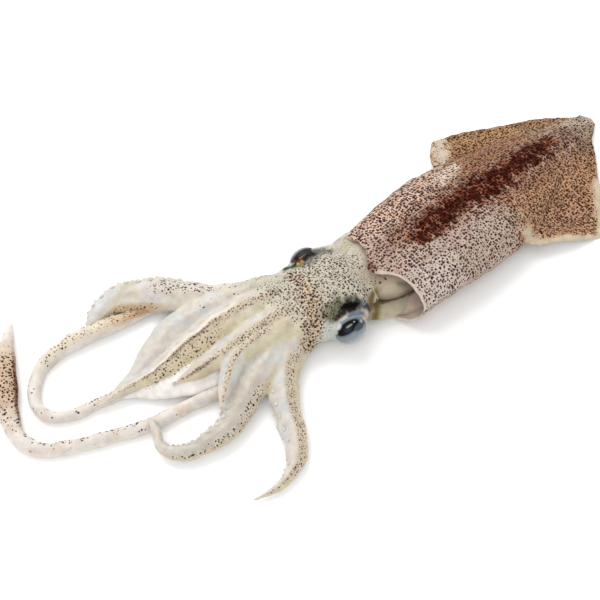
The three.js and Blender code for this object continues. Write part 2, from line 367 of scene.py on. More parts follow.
class Reach(Enum):
    """Which faces a stroke reaches: the height of their normal where it starts and is full."""

    TOP = (-0.35, 0.15)
    UNDER = (0.15, -0.25)
    ALL = None


def write_colour(piece: Piece, name: str, colours: Array) -> None:
    """Stores linear colours, one for each vertex, as an attribute that a material reads."""
    attribute = piece.data.attributes.new(name, "FLOAT_COLOR", "POINT")
    rgba = np.column_stack([np.clip(colours * BLEACH, 0, 1), np.ones(len(colours))])
    attribute.data.foreach_set("color", rgba.astype(np.float32).ravel())


@dataclass
class Paint:
    """The coat on a piece: layers with a value for each vertex.

    Tone is the skin's colour and ink that of its spots. Spots is their size as a share of the
    full one, crowd the share of the skin's cells that carry one, and dust the size of the fine
    spots between them. Bloom is how far the pigment cells have opened: at 1 they run together.
    """

    piece: Piece
    points: Array  # in the animal's millimetres
    normals: Array
    layers: dict[str, Array]

    @classmethod
    def primed(cls, piece: Piece, **values: str | float) -> "Paint":
        """Starts a coat with the same values all over; a layer without one starts at 0.

        Args:
            piece: The piece, its mesh finished.
            values: The layers' values: sRGB hex for tone and ink, numbers for the others.

        Returns:
            The coat.
        """
        count = len(piece.data.vertices)
        places, normals = np.empty(count * 3, np.float32), np.empty(count * 3, np.float32)
        piece.data.vertices.foreach_get("co", places)
        piece.data.vertex_normals.foreach_get("vector", normals)
        layers = {name: np.zeros((count, 3)) for name in COLOUR_LAYERS}
        layers |= {name: np.zeros(count) for name in NUMBER_LAYERS}
        points = to_animal(places.reshape(-1, 3).astype(float))
        coat = cls(piece, points, normals.reshape(-1, 3).astype(float), layers)
        coat.lay(np.ones(count), **values)
        return coat

    def lay(self, cover: Array, **values: str | float | None) -> None:
        """Blends new values in.

        Args:
            cover: How far the new values replace the old at each vertex, 0 to 1.
            values: The new values of layers; None leaves a layer as it is.
        """
        for name, value in values.items():
            layer = self.layers[name]
            if isinstance(value, str):
                layer += (np.array(linear(value)[:3]) - layer) * cover[:, None]
            elif value is not None:
                layer += (value - layer) * cover

    def finish(self, material: Material) -> Piece:
        """Writes the layers to the piece, gives it the material that reads them, and returns it."""
        for name in COLOUR_LAYERS:
            write_colour(self.piece, name, self.layers[name])
        for name in NUMBER_LAYERS:
            attribute = self.piece.data.attributes.new(name, "FLOAT", "POINT")
            attribute.data.foreach_set("value", self.layers[name].astype(np.float32))
        self.piece.data.materials.append(material)
        return self.piece


@dataclass(frozen=True, kw_only=True)
class Look:
    """New values for a coat's layers; None leaves a layer as it is."""

    tone: str | None = None
    ink: str | None = None
    spots: float | None = None
    crowd: float | None = None
    dust: float | None = None
    bloom: float | None = None
    strength: float = 1.0

    def lay(self, coat: Paint, cover: Array) -> None:
        """Blends the look into a coat as far as cover says, 0 to 1."""
        layers = {name: getattr(self, name) for name in (*COLOUR_LAYERS, *NUMBER_LAYERS)}
        coat.lay(self.strength * cover, **layers)


@dataclass(frozen=True)
class Brush(Look):
    """A soft stroke over the skin, along a route of places seen from above."""

    route: tuple[tuple[float, float], ...]
    width: tuple[float, ...]
    hardness: float = 0.2
    ragged: float = 0.25
    rag_length: float = 4.0  # mm
    reach: Reach = Reach.TOP

    def stroke(self, coat: Paint) -> None:
        """Lays the stroke on a coat."""
        places = np.array(self.route, float)
        flat = coat.points[:, :2]
        nearest = np.full(len(flat), np.inf)
        last = len(places) - 1
        for i in range(last):
            run = places[i + 1] - places[i]
            share = np.clip((flat - places[i]) @ run / (run @ run), 0, 1)
            gap = np.linalg.norm(flat - places[i] - share[:, None] * run, axis=1)
            nearest = np.minimum(nearest, gap / along(self.width, (i + share) / last))
        cover = ease(1.0, self.hardness, nearest + self.ragged * wander(coat.points, self.rag_length))
        if self.reach.value:
            cover *= ease(*self.reach.value, coat.normals[:, 2])
        self.lay(coat, cover)


# ---------------------------------------------------------------- materials


@dataclass(frozen=True)
class NodeTree:
    """A material while its nodes are put together."""

    material: Material

    @classmethod
    def named(cls, name: str) -> "NodeTree":
        """Starts a material that has no nodes yet."""
        material = bpy.data.materials.new(name)
        material.use_nodes = True
        material.node_tree.nodes.clear()
        return cls(material)

    def add(self, kind: str, links: dict[str | int, Any], **settings: Any) -> bpy.types.Node:
        """Adds a shader node.

        Args:
            kind: The node's type, without the ShaderNode in front.
            links: For each input, the socket that feeds it or the value that it holds.
            settings: Values of the node's own properties.

        Returns:
            The new node.
        """
        tree = self.material.node_tree
        node = tree.nodes.new(f"ShaderNode{kind}")
        for name, value in settings.items():
            setattr(node, name, value)
        for name, value in links.items():
            if isinstance(value, Socket):
                tree.links.new(value, node.inputs[name])
            else:
                node.inputs[name].default_value = value
        return node

    def read(self, attribute: str, output: str = "Fac") -> Socket:
        """An attribute of the piece."""
        return self.add("Attribute", {}, attribute_name=attribute).outputs[output]

    def place(self, output: str = "Object") -> Socket:
        """Where the skin is, in metres, or its Normal."""
        return self.add("TexCoord", {}).outputs[output]

    def math(self, operation: str, *values: Any) -> Socket:
        """Result of arithmetic on sockets or numbers."""
        return self.add("Math", dict(enumerate(values)), operation=operation).outputs[0]

    def product(self, *values: Any) -> Socket:
        """Product of any number of sockets or numbers."""
        return reduce(lambda first, second: self.math("MULTIPLY", first, second), values)

    def vector(self, operation: str, *values: Any, **more: Any) -> Socket:
        """Result of arithmetic on vectors."""
        node = self.add("VectorMath", dict(enumerate(values)) | more, operation=operation)
        return node.outputs["Value" if operation == "DOT_PRODUCT" else "Vector"]

    def noise(self, place: Socket, scale: float, detail: float, output: str = "Fac") -> Socket:
        """Noise with its scale given per unit of the place."""
        links = {"Vector": place, "Scale": scale, "Detail": detail}
        return self.add("TexNoise", links).outputs[output]

    def ramp(self, value: Socket, ends: tuple[Any, ...], kind: str = "LINEAR") -> Socket:
        """A value moved from the range of the first two ends into that of the last two."""
        links = dict(zip(("From Min", "From Max", "To Min", "To Max"), ends))
        return self.add("MapRange", {"Value": value} | links, interpolation_type=kind).outputs[0]

    def mix(self, share: Any, first: Any, second: Any, blend: str = "MIX") -> Socket:
        """A mix of two colours."""
        links = {0: share, 6: first, 7: second}
        return self.add("Mix", links, data_type="RGBA", blend_type=blend).outputs[2]

    def shaded(self, links: dict[str | int, Any], **settings: Any) -> Material:
        """The finished material, its surface lit as the inputs of one Principled shader say."""
        shader = self.add("BsdfPrincipled", links, **settings)
        self.add("OutputMaterial", {"Surface": shader.outputs[0]})
        return self.material


@dataclass(frozen=True)
class SquidSkin:
    """Raw squid skin: thin, wet and translucent over white muscle, with pigment cells in it.

    The pigment cells show as dark dots about 1 mm wide, each in a paler ring, over finer
    reddish ones. Where they have opened, as along the back, they run together.
    """

    name: str
    spacing: float = 1.5  # mm between the large pigment cells
    dot: float = 0.65  # mm, radius of a large one
    least: float = 0.62  # share of that radius that the smallest has; the largest has 0.5 more
    unevenness: float = 0.72  # 0 for a regular grid of cells
    fine_spacing: float = 1.15  # mm
    fine_dot: float = 0.52  # mm
    fine_loss: float = 0.1  # mm taken off each, so that the smallest don't show
    flatness: float = 0.45  # 1 for round cells, less for cells that lie deep and still show
    opened: float = 0.38  # mm that a cell's radius grows when it is fully open
    bend: float = 0.9  # mm that the pattern is bent, so that no dot is a true disc
    edge: float = 0.13  # mm over which a dot fades
    halo: float = 0.5  # mm that the pale ring reaches past a dot
    halo_strength: float = 0.36
    halo_colour: str = "#f1e6da"
    fine_strength: float = 0.8
    fine_colour: str = "#5e2a1a"
    clouds: tuple[float, float] = (0.88, 1.1)  # how dark and light the flesh's clouds are
    roughness: float = 0.34
    subsurface: float = 0.35
    subsurface_depth: float = 1.2  # mm
    specular: float = 0.1
    coat: float = 0.05  # the wet film on the skin
    coat_roughness: float = 0.1
    ior: float = 1.34  # of water
    relief: float = 0.14  # mm

    def build(self) -> Material:
        """Builds the material from the attributes tone, ink, spots, crowd, dust and bloom."""
        tree = NodeTree.named(self.name)
        in_mm = tree.vector("SCALE", tree.place(), Scale=1 / MM)
        tone, ink = (tree.read(name, "Color") for name in COLOUR_LAYERS)
        spots, crowd, dust, bloom = (tree.read(name) for name in NUMBER_LAYERS)

        # large dots, each in its ring; a cell that carries none gets a radius below 0
        bend = tree.noise(in_mm, 0.9, 1.0, "Color")
        bent = tree.vector("MULTIPLY_ADD", bend, (self.bend,) * 3, in_mm)
        distance, luck = self._cells(tree, bent, self.spacing)
        size = tree.product(tree.math("MULTIPLY_ADD", luck["Red"], 0.5, self.least), spots, self.dot)
        size = tree.math("MULTIPLY_ADD", bloom, self.opened, size)
        carries = tree.math("LESS_THAN", luck["Blue"], crowd)
        size = tree.math("MULTIPLY_ADD", carries, tree.math("ADD", size, 0.5), -0.5)
        dots = self._fade(tree, distance, size, self.edge)
        ring = self._fade(tree, distance, tree.math("ADD", size, self.halo), self.halo * 0.8)

        # fine dots between them, from cells of their own
        aside = tree.vector("ADD", bent, (31.7, 12.9, 7.3))
        fine_distance, fine_luck = self._cells(tree, aside, self.fine_spacing)
        fine_share = tree.math("MULTIPLY_ADD", fine_luck["Red"], 0.5, 0.6)
        fine_size = tree.math("SUBTRACT", tree.product(fine_share, self.fine_dot, dust), self.fine_loss)
        fine_dots = self._fade(tree, fine_distance, fine_size, self.edge)

        # soft clouds of darker and lighter flesh under all of them
        clouds = tree.ramp(tree.noise(in_mm, 0.3, 4.0), (0.3, 0.7, *self.clouds))
        ground = tree.mix(1.0, tone, clouds, "MULTIPLY")
        veil = tree.product(ring, tree.product(spots, self.halo_strength))
        closed = tree.math("MAXIMUM", tree.math("MULTIPLY_ADD", bloom, -3.0, 1.0), 0.0)
        pale = tree.mix(tree.product(veil, closed, 0.6), ground, linear(self.halo_colour))
        reddish = tree.mix(0.6, ink, linear(self.fine_colour))
        freckled = tree.mix(tree.product(fine_dots, self.fine_strength), pale, reddish)
        inked = tree.product(dots, tree.math("MULTIPLY_ADD", luck["Green"], 0.12, 0.88))
        clear = tree.math("MULTIPLY_ADD", inked, -0.9 * self.subsurface, self.subsurface)

        bump = {"Height": tree.noise(in_mm, 0.5, 5.0), "Strength": 0.6, "Distance": self.relief * MM}
        return tree.shaded(
            {
                "Base Color": tree.mix(inked, freckled, ink),
                "Roughness": self.roughness,
                "IOR": self.ior,
                "Subsurface Weight": tree.product(clear, tree.math("SUBTRACT", 1.0, bloom)),
                "Subsurface Radius": (1.0, 0.75, 0.6),
                "Subsurface Scale": self.subsurface_depth * MM,
                "Specular IOR Level": self.specular,
                "Coat Weight": self.coat,
                "Coat Roughness": self.coat_roughness,
                "Coat IOR": self.ior,
                "Normal": tree.add("Bump", bump).outputs[0],
            },
            subsurface_method="RANDOM_WALK",
        )

    def _fade(self, tree: NodeTree, distance: Socket, size: Socket, edge: float) -> Socket:
        """1 inside a radius, fading to 0 over an edge on both sides of it."""
        start, end = tree.math("SUBTRACT", size, edge), tree.math("ADD", size, edge)
        return tree.ramp(distance, (start, end, 1.0, 0.0), "SMOOTHSTEP")

    def _cells(self, tree: NodeTree, place: Socket, spacing: float) -> tuple[Socket, Any]:
        """Distance from the middle of the nearest pigment cell, and that cell's random numbers.

        Args:
            tree: The material's nodes.
            place: Where the skin is, in millimetres.
            spacing: Millimetres between cells.

        Returns:
            The distance in millimetres, which grows slowly with depth under the skin, and three
            random outputs named Red, Green and Blue.
        """
        links = {"Vector": place, "Scale": 1 / spacing, "Randomness": self.unevenness}
        cells = tree.add("TexVoronoi", links).outputs
        away = tree.vector("SUBTRACT", place, cells["Position"])
        depth = tree.vector("DOT_PRODUCT", away, tree.place("Normal"))
        whole = tree.vector("DOT_PRODUCT", away, away)
        square = tree.math("MULTIPLY_ADD", tree.product(depth, depth), self.flatness**2 - 1, whole)
        distance = tree.math("SQRT", tree.math("MAXIMUM", square, 0.0))
        return distance, tree.add("SeparateColor", {"Color": cells["Color"]}).outputs


def pale_skin(name: str) -> Material:
    """Skin with few pigment cells and the flesh's own glow, as on throat and tentacles."""
    return SquidSkin(name, halo_strength=0.2, subsurface=0.6, subsurface_depth=1.6).build()


@dataclass(frozen=True)
class EyeGlass:
    """A fresh squid eye: painted globe under a clear wet cornea."""

    name: str
    flecks: float = 0.5  # mm between the iris's flecks
    ior: float = 1.38  # of the cornea

    def build(self) -> Material:
        """Builds the material from the attribute tone."""
        tree = NodeTree.named(self.name)
        flecks = tree.noise(tree.place(), 1 / (self.flecks * MM), 3.0)
        dim = tree.ramp(flecks, (0.3, 0.7, 0.8, 1.08))
        return tree.shaded({
            "Base Color": tree.mix(1.0, tree.read("tone", "Color"), dim, "MULTIPLY"),
            "Roughness": 0.3,
            "IOR": self.ior,
            "Specular IOR Level": 0.1,
            "Coat Weight": 0.25,
            "Coat Roughness": 0.04,
            "Coat IOR": self.ior,
        })


@dataclass(frozen=True)
class PaleTable:
    """A smooth matt board, pale and plain."""

    name: str = "pale_board_matt"
    colour: str = "#f9f9f9"

    def build(self) -> Material:
        """Builds the material."""
        return NodeTree.named(self.name).shaded({"Base Color": linear(self.colour), "Roughness": 0.9})


# ---------------------------------------------------------------- mantle and fins


@dataclass(frozen=True)
class Fin:
    """A thin wavy blade whose chord shrinks from the middle of the body to its corner."""

    side: int
    reach: float
    corner: float
    bow: float
    lift: float
    tone: str
    front_root: float = 62.0
    rear: float = 144.0
    overlap: float = 0.12
    front_sweep: float = 4.0
    bulge: float = 0.0
    bulge_span: float = 0.64
    bulge_width: float = 0.14
    front_hem: float = 2.0
    rear_hem: float = 2.0
    hem_tone: str = "#d8cab0"
    root_share: float = 0.72
    root_thickness_share: float = 0.3
    edge_thickness: float = 1.5
    wave_height: float = 1.1
    wave_length: float = 31.0
    ruffle: float = 0.5
    ruffle_length: float = 9.0
    ruffle_slant: float = 1.7
    front_curl: float = 14.0  # mm behind the front edge that it lifts
    root_fade: float = 2.2
    edge_round: float = 0.6
    hem_start: tuple[float, float] = (57.0, 61.0)  # mm behind the opening
    hem_span: tuple[float, float] = (0.48, 0.58)  # shares of the reach between which it begins
    rings: int = 90
    around: int = 120

    def chord(self, span: Array) -> tuple[Array, Array]:
        """Front and rear end of the blade at a share of its reach."""
        front = self.front_root + (self.corner - self.front_root) * span**self.front_sweep
        front = front - self.bulge * bell(span - self.bulge_span, self.bulge_width)
        rear = self.rear - (self.rear - self.corner) * span**self.bow
        return front, rear

    def place(self, share: Array, angle: Array, mantle: "Mantle") -> Array:
        """Places on the blade's skin."""
        across = share * (1 + self.overlap) - self.overlap
        span = np.clip(across, 0, 1)
        front, rear = self.chord(span)
        opened = np.where((share == 0) | (share == 1), 0.0, 1.0)
        x = (front + rear) / 2 + opened * (rear - front) / 2 * np.cos(angle)
        ridge = along(mantle.ridge, x / mantle.length)
        thickness = self.root_thickness_share * ridge * (1 - span) + self.edge_thickness * span
        wave = self.wave_height * span * np.sin(2 * math.pi * x / self.wave_length + self.side)
        along_edge = x + self.ruffle_slant * self.reach * across
        wave = wave + self.ruffle * span**3 * np.sin(2 * math.pi * along_edge / self.ruffle_length)
        front_lift = self.lift * span * (1 - span) * 4 * bell(x - front, self.front_curl)
        root = self.root_share * ridge * (1 - span) ** self.root_fade
        middle = thickness / 2 + root + wave + front_lift
        height = middle + opened * (thickness / 2) * signed_power(np.sin(angle), self.edge_round)
        return np.stack([x, self.side * self.reach * across, height], -1)

    def hem(self, points: Array) -> Array:
        """How far each point lies in the pale hem: 1 at the free edge, 0 inside the hem."""
        span = np.clip(self.side * points[:, 1] / self.reach, 0, 1)
        front, rear = self.chord(span)
        ragged = 0.9 * wander(points, 7)
        ahead = (points[:, 0] - front + ragged) / self.front_hem
        behind = (rear - points[:, 0] + ragged) / self.rear_hem
        near = ease(1.25, 0.35, np.minimum(ahead, behind)) * ease(*self.hem_start, points[:, 0])
        return near * ease(*self.hem_span, span)


BODY_STROKES = (
    # right side of the back, peach
    Brush(((-3, 22), (12, 20), (34, 19), (58, 20)), (9, 13, 12, 10), tone="#d8b097", ink="#35120a",
          spots=1.15, dust=0.85, hardness=0.4),
    # left flank, grey with a touch of lilac
    Brush(((0, -21), (20, -24), (38, -24)), (14, 15, 14), tone="#d3c3b9", spots=0.95, dust=0.75,
          hardness=0.4),
    Brush(((30, -23), (52, -21), (60, -19)), (14, 12, 8), tone="#bba491", spots=0.95, dust=0.75,
          hardness=0.3),
    Brush(((6, -7), (20, -12), (44, -12), (58, -12)), (7, 5, 5, 5), tone="#bba094", strength=0.9),
    # cream patch in front of the right fin
    Brush(((52, 14), (59, 17), (65, 18)), (6, 7, 5.5), tone="#e8d6c0", spots=0.78, dust=0.5),
    # the lobe over the neck
    Brush(((-9, 1), (-3, 4), (6, 5), (14, 5)), (5, 8, 9, 8), tone="#a98574", dust=0.8),
    Brush(((-10, 1), (-8, 4)), (3, 3.5), tone="#8a6054", bloom=0.3, strength=0.8),
    # opened cells along the back
    Brush(((12, 4), (25, 3), (45, 3), (65, 2), (85, 1), (105, 0), (124, -1)), (10, 15, 17, 19, 18, 16, 12),
          tone="#a37454", ink="#2e0900", dust=1.0, bloom=0.12, hardness=0.1),
    Brush(((17, -1), (30, 0), (45, 1), (60, 0), (75, 0), (90, 1), (104, 1), (113, 1)),
          (6, 10, 11, 13.5, 13, 11, 10, 6), tone="#874a34", ink="#240300", bloom=0.33, hardness=0.1),
    Brush(((19, -3), (30, -2), (42, 1)), (5, 7, 5), tone="#67301f", bloom=0.55, hardness=0.3),
    Brush(((54, 2), (66, -1), (78, -1)), (6, 8, 6), tone="#6b2a17", bloom=0.5, hardness=0.3),
    Brush(((89, 1), (98, 1), (106, 1)), (5, 7, 5), tone="#572519", bloom=0.55, hardness=0.3),
    # pale front rim on the right
    Brush(((-5, 16), (-4, 22), (-1, 28)), (3.2, 3.2, 3.2), tone="#b7ae9a", hardness=0.5, **BARE),
    # fins and tail
    Brush(((84, 36), (97, 29), (108, 22)), (9, 10, 9), tone="#c0945a", strength=0.9, hardness=0.2),
    Brush(((70, 14), (90, 15), (106, 15)), (6, 6, 6), tone="#a5693a", strength=0.9, hardness=0.2),
    Brush(((70, -22), (80, -28), (90, -40)), (6, 7, 6), tone="#c49a6c", strength=0.8, hardness=0.2),
    Brush(((84, -34), (94, -34)), (9, 9), tone="#be9272", strength=0.7, hardness=0.0),
    Brush(((80, -11), (92, -10), (104, -8)), (6, 6, 5), tone="#99603c", strength=0.6, hardness=0.0),
    Brush(((114, 14), (126, 8)), (8, 8), tone="#a88c6c", strength=0.8, hardness=0.2),
    Brush(((124, 0), (137, -2), (126, -12)), (9, 9, 8), tone="#8f7458", strength=0.9, hardness=0.2),
    Brush(((130, 5), (136, 2), (142, -1), (146, -6)), (3, 3.5, 4, 3), tone="#bfae9c", spots=0.7,
          strength=0.7, hardness=0.0),
    # pale front corner of the right fin
    Brush(((72, 32), (78, 37), (82, 43)), (6.5, 7, 6), tone="#d8c6b2", spots=0.6, crowd=0.5, dust=0.4,
          bloom=0.0, hardness=0.1),
)


@dataclass(frozen=True)
class Mantle:
    """The body's cup and its two fins."""

    length: float = 146.0
    half_width: tuple[float, ...] = (26, 28, 29.8, 28.3, 23, 17, 12, 6)
    ridge: tuple[float, ...] = (23, 24, 21.5, 18, 14.5, 10.8, 6.4, 2.2)
    bend: tuple[float, ...] = (0.8, 0.3, -0.2, -1.2, 0.1, 0.5, 0, 0)
    squareness: tuple[float, ...] = (2.3, 2.3, 2.3, 2.2, 1.8, 1.45, 1.25, 1.2)
    sink: float = 0.8
    wall: float = 2.6
    edge_wall: float = 1.4
    lobe: float = 11.0
    lobe_width: float = 7.0
    belly_lip: float = 9.0
    right_cheek: float = 4.0
    left_cheek: float = 2.5
    hollow: float = 26.0
    hollow_taper: float = 6.0  # mm that the hollow narrows towards its end
    outer_share: float = 0.72  # of the shell's rings, on the outside
    lip_share: float = 0.06  # of the rings, round the front edge
    rings: int = 170
    around: int = 120
    fins: tuple[Fin, ...] = (
        Fin(side=1, reach=45, corner=80, bow=1.33, lift=1.5, tone="#b07a45", bulge=1, front_hem=1,
            rear_hem=1, hem_tone="#ab9884"),
        Fin(side=-1, reach=50, corner=93, bow=1.05, lift=5, tone="#ca986c", bulge=6.5, front_hem=6.5,
            rear_hem=6.5),
    )
    fusing: Fusing = Fusing(voxel=0.6, passes=6, ripples=((0.25, 9.0), (0.08, 3.5)))
    strokes: tuple[Brush, ...] = BODY_STROKES

    def skin_point(self, x: Array, angle: Array, inset: Array) -> Array:
        """Place on the mantle's skin at x and an angle (a quarter turn is the ridge), moved inwards."""
        share = x / self.length
        ridge = along(self.ridge, share)
        half = np.maximum(along(self.half_width, share) - inset, 0)
        rise = np.maximum((ridge + self.sink) / 2 - inset, 0)
        power = 2 / along(self.squareness, share)
        y = along(self.bend, share) + half * signed_power(np.cos(angle), power)
        z = (ridge - self.sink) / 2 + rise * signed_power(np.sin(angle), power)
        return np.stack([x, y, z], -1)

    def front_edge(self, angle: Array) -> Array:
        """Where the front edge stands: a lobe over the head and a lip under the belly."""
        sideways = np.abs(self.half_width[0] * np.cos(angle))
        right, left = np.clip(np.cos(angle), 0, 1), np.clip(-np.cos(angle), 0, 1)
        cheek = -self.right_cheek * right**3 - self.left_cheek * left
        lobe = self.lobe * np.exp(-((sideways / self.lobe_width) ** 1.3))
        lip = self.belly_lip * np.abs(np.sin(angle))
        return cheek - np.where(np.sin(angle) > 0, lobe, lip)

    def place(self, share: Array, angle: Array) -> Array:
        """The cup's skin: over the outside from the tail, round the lip and back into the hollow."""
        edge = self.front_edge(angle)
        lip_radius = self.edge_wall / 2
        outer = np.clip(share / self.outer_share, 0, 1)
        turn = np.clip((share - self.outer_share) / self.lip_share, 0, 1) * math.pi
        inner_start = self.outer_share + self.lip_share
        inward = np.clip((share - inner_start) / (1 - inner_start), 0, 1)
        on_lip = edge + lip_radius
        x = self.length + (on_lip - self.length) * outer - lip_radius * np.sin(turn)
        x = x + (self.hollow - on_lip) * inward
        thicken = (self.wall - self.edge_wall) * ease(0, 0.4, inward)
        inset = lip_radius * (1 - np.cos(turn)) + thicken + self.hollow_taper * inward**3
        point = self.skin_point(x, angle, inset)
        closing = rounded(share, 0.05, 0.02)
        share_x = x / self.length
        middle_y, middle_z = along(self.bend, share_x), along(self.ridge, share_x) / 2
        point[:, 1] = middle_y + (point[:, 1] - middle_y) * closing
        point[:, 2] = middle_z + (point[:, 2] - middle_z) * closing
        at_back = share == 1
        point[at_back, 1:] = (0.0, self.ridge[0] / 2)
        return point

    def build(self) -> Piece:
        """Makes the mantle with its fins as one skin.

        Returns:
            The piece.
        """
        flesh = bmesh.new()
        add_shell(flesh, self)
        for fin in self.fins:
            add_shell(flesh, fin, self)
        piece = self.fusing.fuse("mantle_and_fins", flesh)
        coat = Paint.primed(piece, tone="#bda28f", ink="#401a0d", spots=1.0, crowd=0.97, dust=0.65)
        self.paint(coat)
        return coat.finish(SquidSkin("squid_skin_body", specular=0.04, coat=0.02).build())

    def paint(self, coat: Paint) -> None:
        """Lays the skin's colours and spots on the body."""
        x, y, z = coat.points.T
        up = coat.normals[:, 2]
        share = x / self.length
        sideways, above = y - along(self.bend, share), z - along(self.ridge, share) / 2
        for fin in self.fins:
            on_fin = ease(56, 67, x + 0.3 * sideways * fin.side) * ease(3, 12, fin.side * y)
            coat.lay(on_fin, tone=fin.tone, ink="#3a1a0a", spots=0.88, crowd=1.0, dust=1.0, bloom=0.15)
        for brush in self.strokes:
            brush.stroke(coat)
        # darker and lighter blotches where the pigment cells are open
        blotch, opened = wander(coat.points, 5.0, seed=1.0), np.clip(coat.layers["bloom"] * 3, 0, 1)
        coat.lay(0.75 * opened * ease(0.0, 0.7, blotch), tone="#3c1208")
        coat.lay(0.6 * opened * ease(0.0, -0.8, blotch), tone="#b27a60")
        for fin in self.fins:
            coat.lay(fin.hem(coat.points), tone=fin.hem_tone, spots=0.3, crowd=0.2, dust=0.2, bloom=0.0)
        coat.lay(ease(0.0, -0.5, up), tone="#d9cec2", spots=0.6, crowd=0.35, dust=0.0, bloom=0.0)
        # painted shade: where the left flank turns under it is laid browner and darker than the belly,
        # standing in for the shade under the curve
        painted_flank_shade = ease(0.3, -0.35, up) * ease(-8, -16, y) * ease(76, 64, x)
        coat.lay(0.9 * painted_flank_shade, tone="#a38c79", spots=0.7, crowd=0.7, dust=0.4)
        # the hollow's wall, which faces the body's middle line
        outward = coat.normals[:, 1] * sideways / 26 + up * above / 11
        coat.lay(ease(0.0, -0.2, outward) * ease(34, 28, x), tone="#cdbfb2", bloom=0.0, **BARE)
        # a thin pale rim along the front edge, left of the lobe
        around = np.sign(above) * np.arccos(np.clip(sideways / self.half_width[0], -1, 1))
        behind_rim = x - self.front_edge(around) + 0.3 * wander(coat.points, 5)
        coat.lay(ease(1.3, 0.6, behind_rim) * ease(1, -5, y), tone="#e0cfc6", bloom=0.0, **BARE)


# ---------------------------------------------------------------- limbs


@dataclass(frozen=True)
class Band(Look):
    """A stripe of colour or spots along a limb."""

    angle: float  # degrees: 0 faces sideways off the route, 90 up
    spread: float
    start: float = 0.0  # share of the limb's length
    end: float = 1.0
    fade: float = 0.06

    def cover(self, share: Array, angle: Array) -> Array:
        """How far the band covers places, from their share of the limb's length and their angle."""
        turn = np.abs((angle - self.angle + 180) % 360 - 180)
        opening = ease(self.start - self.fade, self.start + self.fade, share)
        closing = ease(self.end + self.fade, self.end - self.fade, share)
        return opening * closing * ease(self.spread * 1.3, self.spread * 0.5, turn)


@dataclass(frozen=True)
class SuckerRows:
    """Two rows of suckers on one face of a limb, shrinking towards its tip."""

    start: float  # share of the limb's length
    end: float
    pairs: int
    face: float  # degrees, as for a band
    size: float
    tip_size: float
    row_spread: float = 24.0  # degrees from the face's middle to a row


@dataclass(frozen=True)
class Limb:
    """An arm or tentacle: a flat-sided section swept along a route, with a keel on its outer face."""

    name: str
    route: Route
    wide: tuple[float, ...]
    tall: tuple[float, ...]
    keel: float = 0.7
    keel_angle: float = 90.0  # degrees, 90 for the upper side
    keel_spread: float = 16.0
    edged: float = 1.22  # 1 for an oval section, more for one with edges
    pulse: float = 0.04  # share that the section swells and shrinks along the limb
    pulse_length: float = 2.4  # mm of the limb for each radian of that wave
    bands: tuple[Band, ...] = ()
    suckers: SuckerRows | None = None
    rings: int = 110
    around: int = 48

    def section(self, share: Array) -> tuple[Array, Array]:
        """Half-width and half-height of the section."""
        return along(self.wide, share), along(self.tall, share)

    def skin_point(self, share: Array, angle: Array) -> tuple[Array, Array]:
        """Places on the limb's skin and the directions out of it."""
        middle, side, up = self.route.at(share)
        wide, tall = self.section(share)
        spread = np.degrees(np.angle(np.exp(1j * (angle - math.radians(self.keel_angle)))))
        keel = self.keel * bell(spread, self.keel_spread) * np.minimum(tall / 5, 1)
        outward = side * (np.cos(angle) / wide)[:, None] + up * (np.sin(angle) / tall)[:, None]
        outward /= np.linalg.norm(outward, axis=1, keepdims=True)
        pulse = 1 + self.pulse * np.sin(share * self.route.length / self.pulse_length + len(self.name))
        across = wide * pulse * signed_power(np.cos(angle), self.edged)
        rise = tall * pulse * signed_power(np.sin(angle), self.edged)
        offset = side * across[:, None] + up * rise[:, None]
        return middle + offset + outward * keel[:, None], outward

    def place(self, share: Array, angle: Array) -> Array:
        """Places on the limb's closed shell."""
        point, _ = self.skin_point(share, angle)
        middle, _, _ = self.route.at(share)
        closing = rounded(share, 0.05, max(self.wide[-1] / self.route.length, 0.01))
        return middle + (point - middle) * closing[:, None]

    def measure(self, points: Array, samples: int = 70) -> tuple[Array, Array, Array]:
        """Where points lie as the limb sees them.

        Args:
            points: Places in the animal's millimetres.
            samples: How many places on the limb's line are compared.

        Returns:
            Share of the length, angle in degrees, and distance from the line in section radii.
        """
        shares = np.linspace(0.02, 0.99, samples)
        middle, side, up = self.route.at(shares)
        wide, tall = self.section(shares)
        best = np.full(len(points), np.inf)
        share, angle = np.zeros(len(points)), np.zeros(len(points))
        for k in range(samples):
            offset = points - middle[k]
            across, rise = offset @ side[k] / wide[k], offset @ up[k] / tall[k]
            ahead = offset @ np.cross(side[k], up[k]) / wide[k]
            radial = np.sqrt(across**2 + rise**2 + ahead**2)
            nearer = radial < best
            best[nearer] = radial[nearer]
            share[nearer] = shares[k]
            angle[nearer] = np.degrees(np.arctan2(rise[nearer], across[nearer]))
        return share, angle, best

    def cups(self, cup: "SuckerShape", target: BMesh) -> int:
        """Adds the limb's suckers to a mesh and returns how many there are."""
        rows = self.suckers
        if rows is None:
            return 0
        count = 2 * rows.pairs
        steps = np.linspace(0, 1, count)
        row = np.where(np.arange(count) % 2 == 0, 1, -1)
        share = rows.start + (rows.end - rows.start) * steps
        angle = np.radians(rows.face + row * rows.row_spread)
        places, outward = self.skin_point(share, angle)
        for place, direction, step in zip(places, outward, steps):
            cup.add(target, place, direction, rows.size + (rows.tip_size - rows.size) * step)
        return count


def paint_limbs(coat: Paint, limbs: Iterable[Limb]) -> None:
    """Lays each limb's bands on a coat, each only where that limb is the nearest."""
    measured = [limb.measure(coat.points) for limb in limbs]
    nearest = np.min([radial for _, _, radial in measured], axis=0)
    for limb, (share, angle, radial) in zip(limbs, measured):
        own = ease(0.3, 0.05, radial - nearest)
        for band in limb.bands:
            band.lay(coat, own * band.cover(share, angle))


def ridge_band(start: float, end: float, angle: float, spread: float, crowd: float) -> Band:
    """A dense row of dark spots along a limb's ridge."""
    return Band(angle, spread, start, end, tone="#d8cab2", ink="#3c2012", spots=0.66, crowd=crowd, dust=0.9)


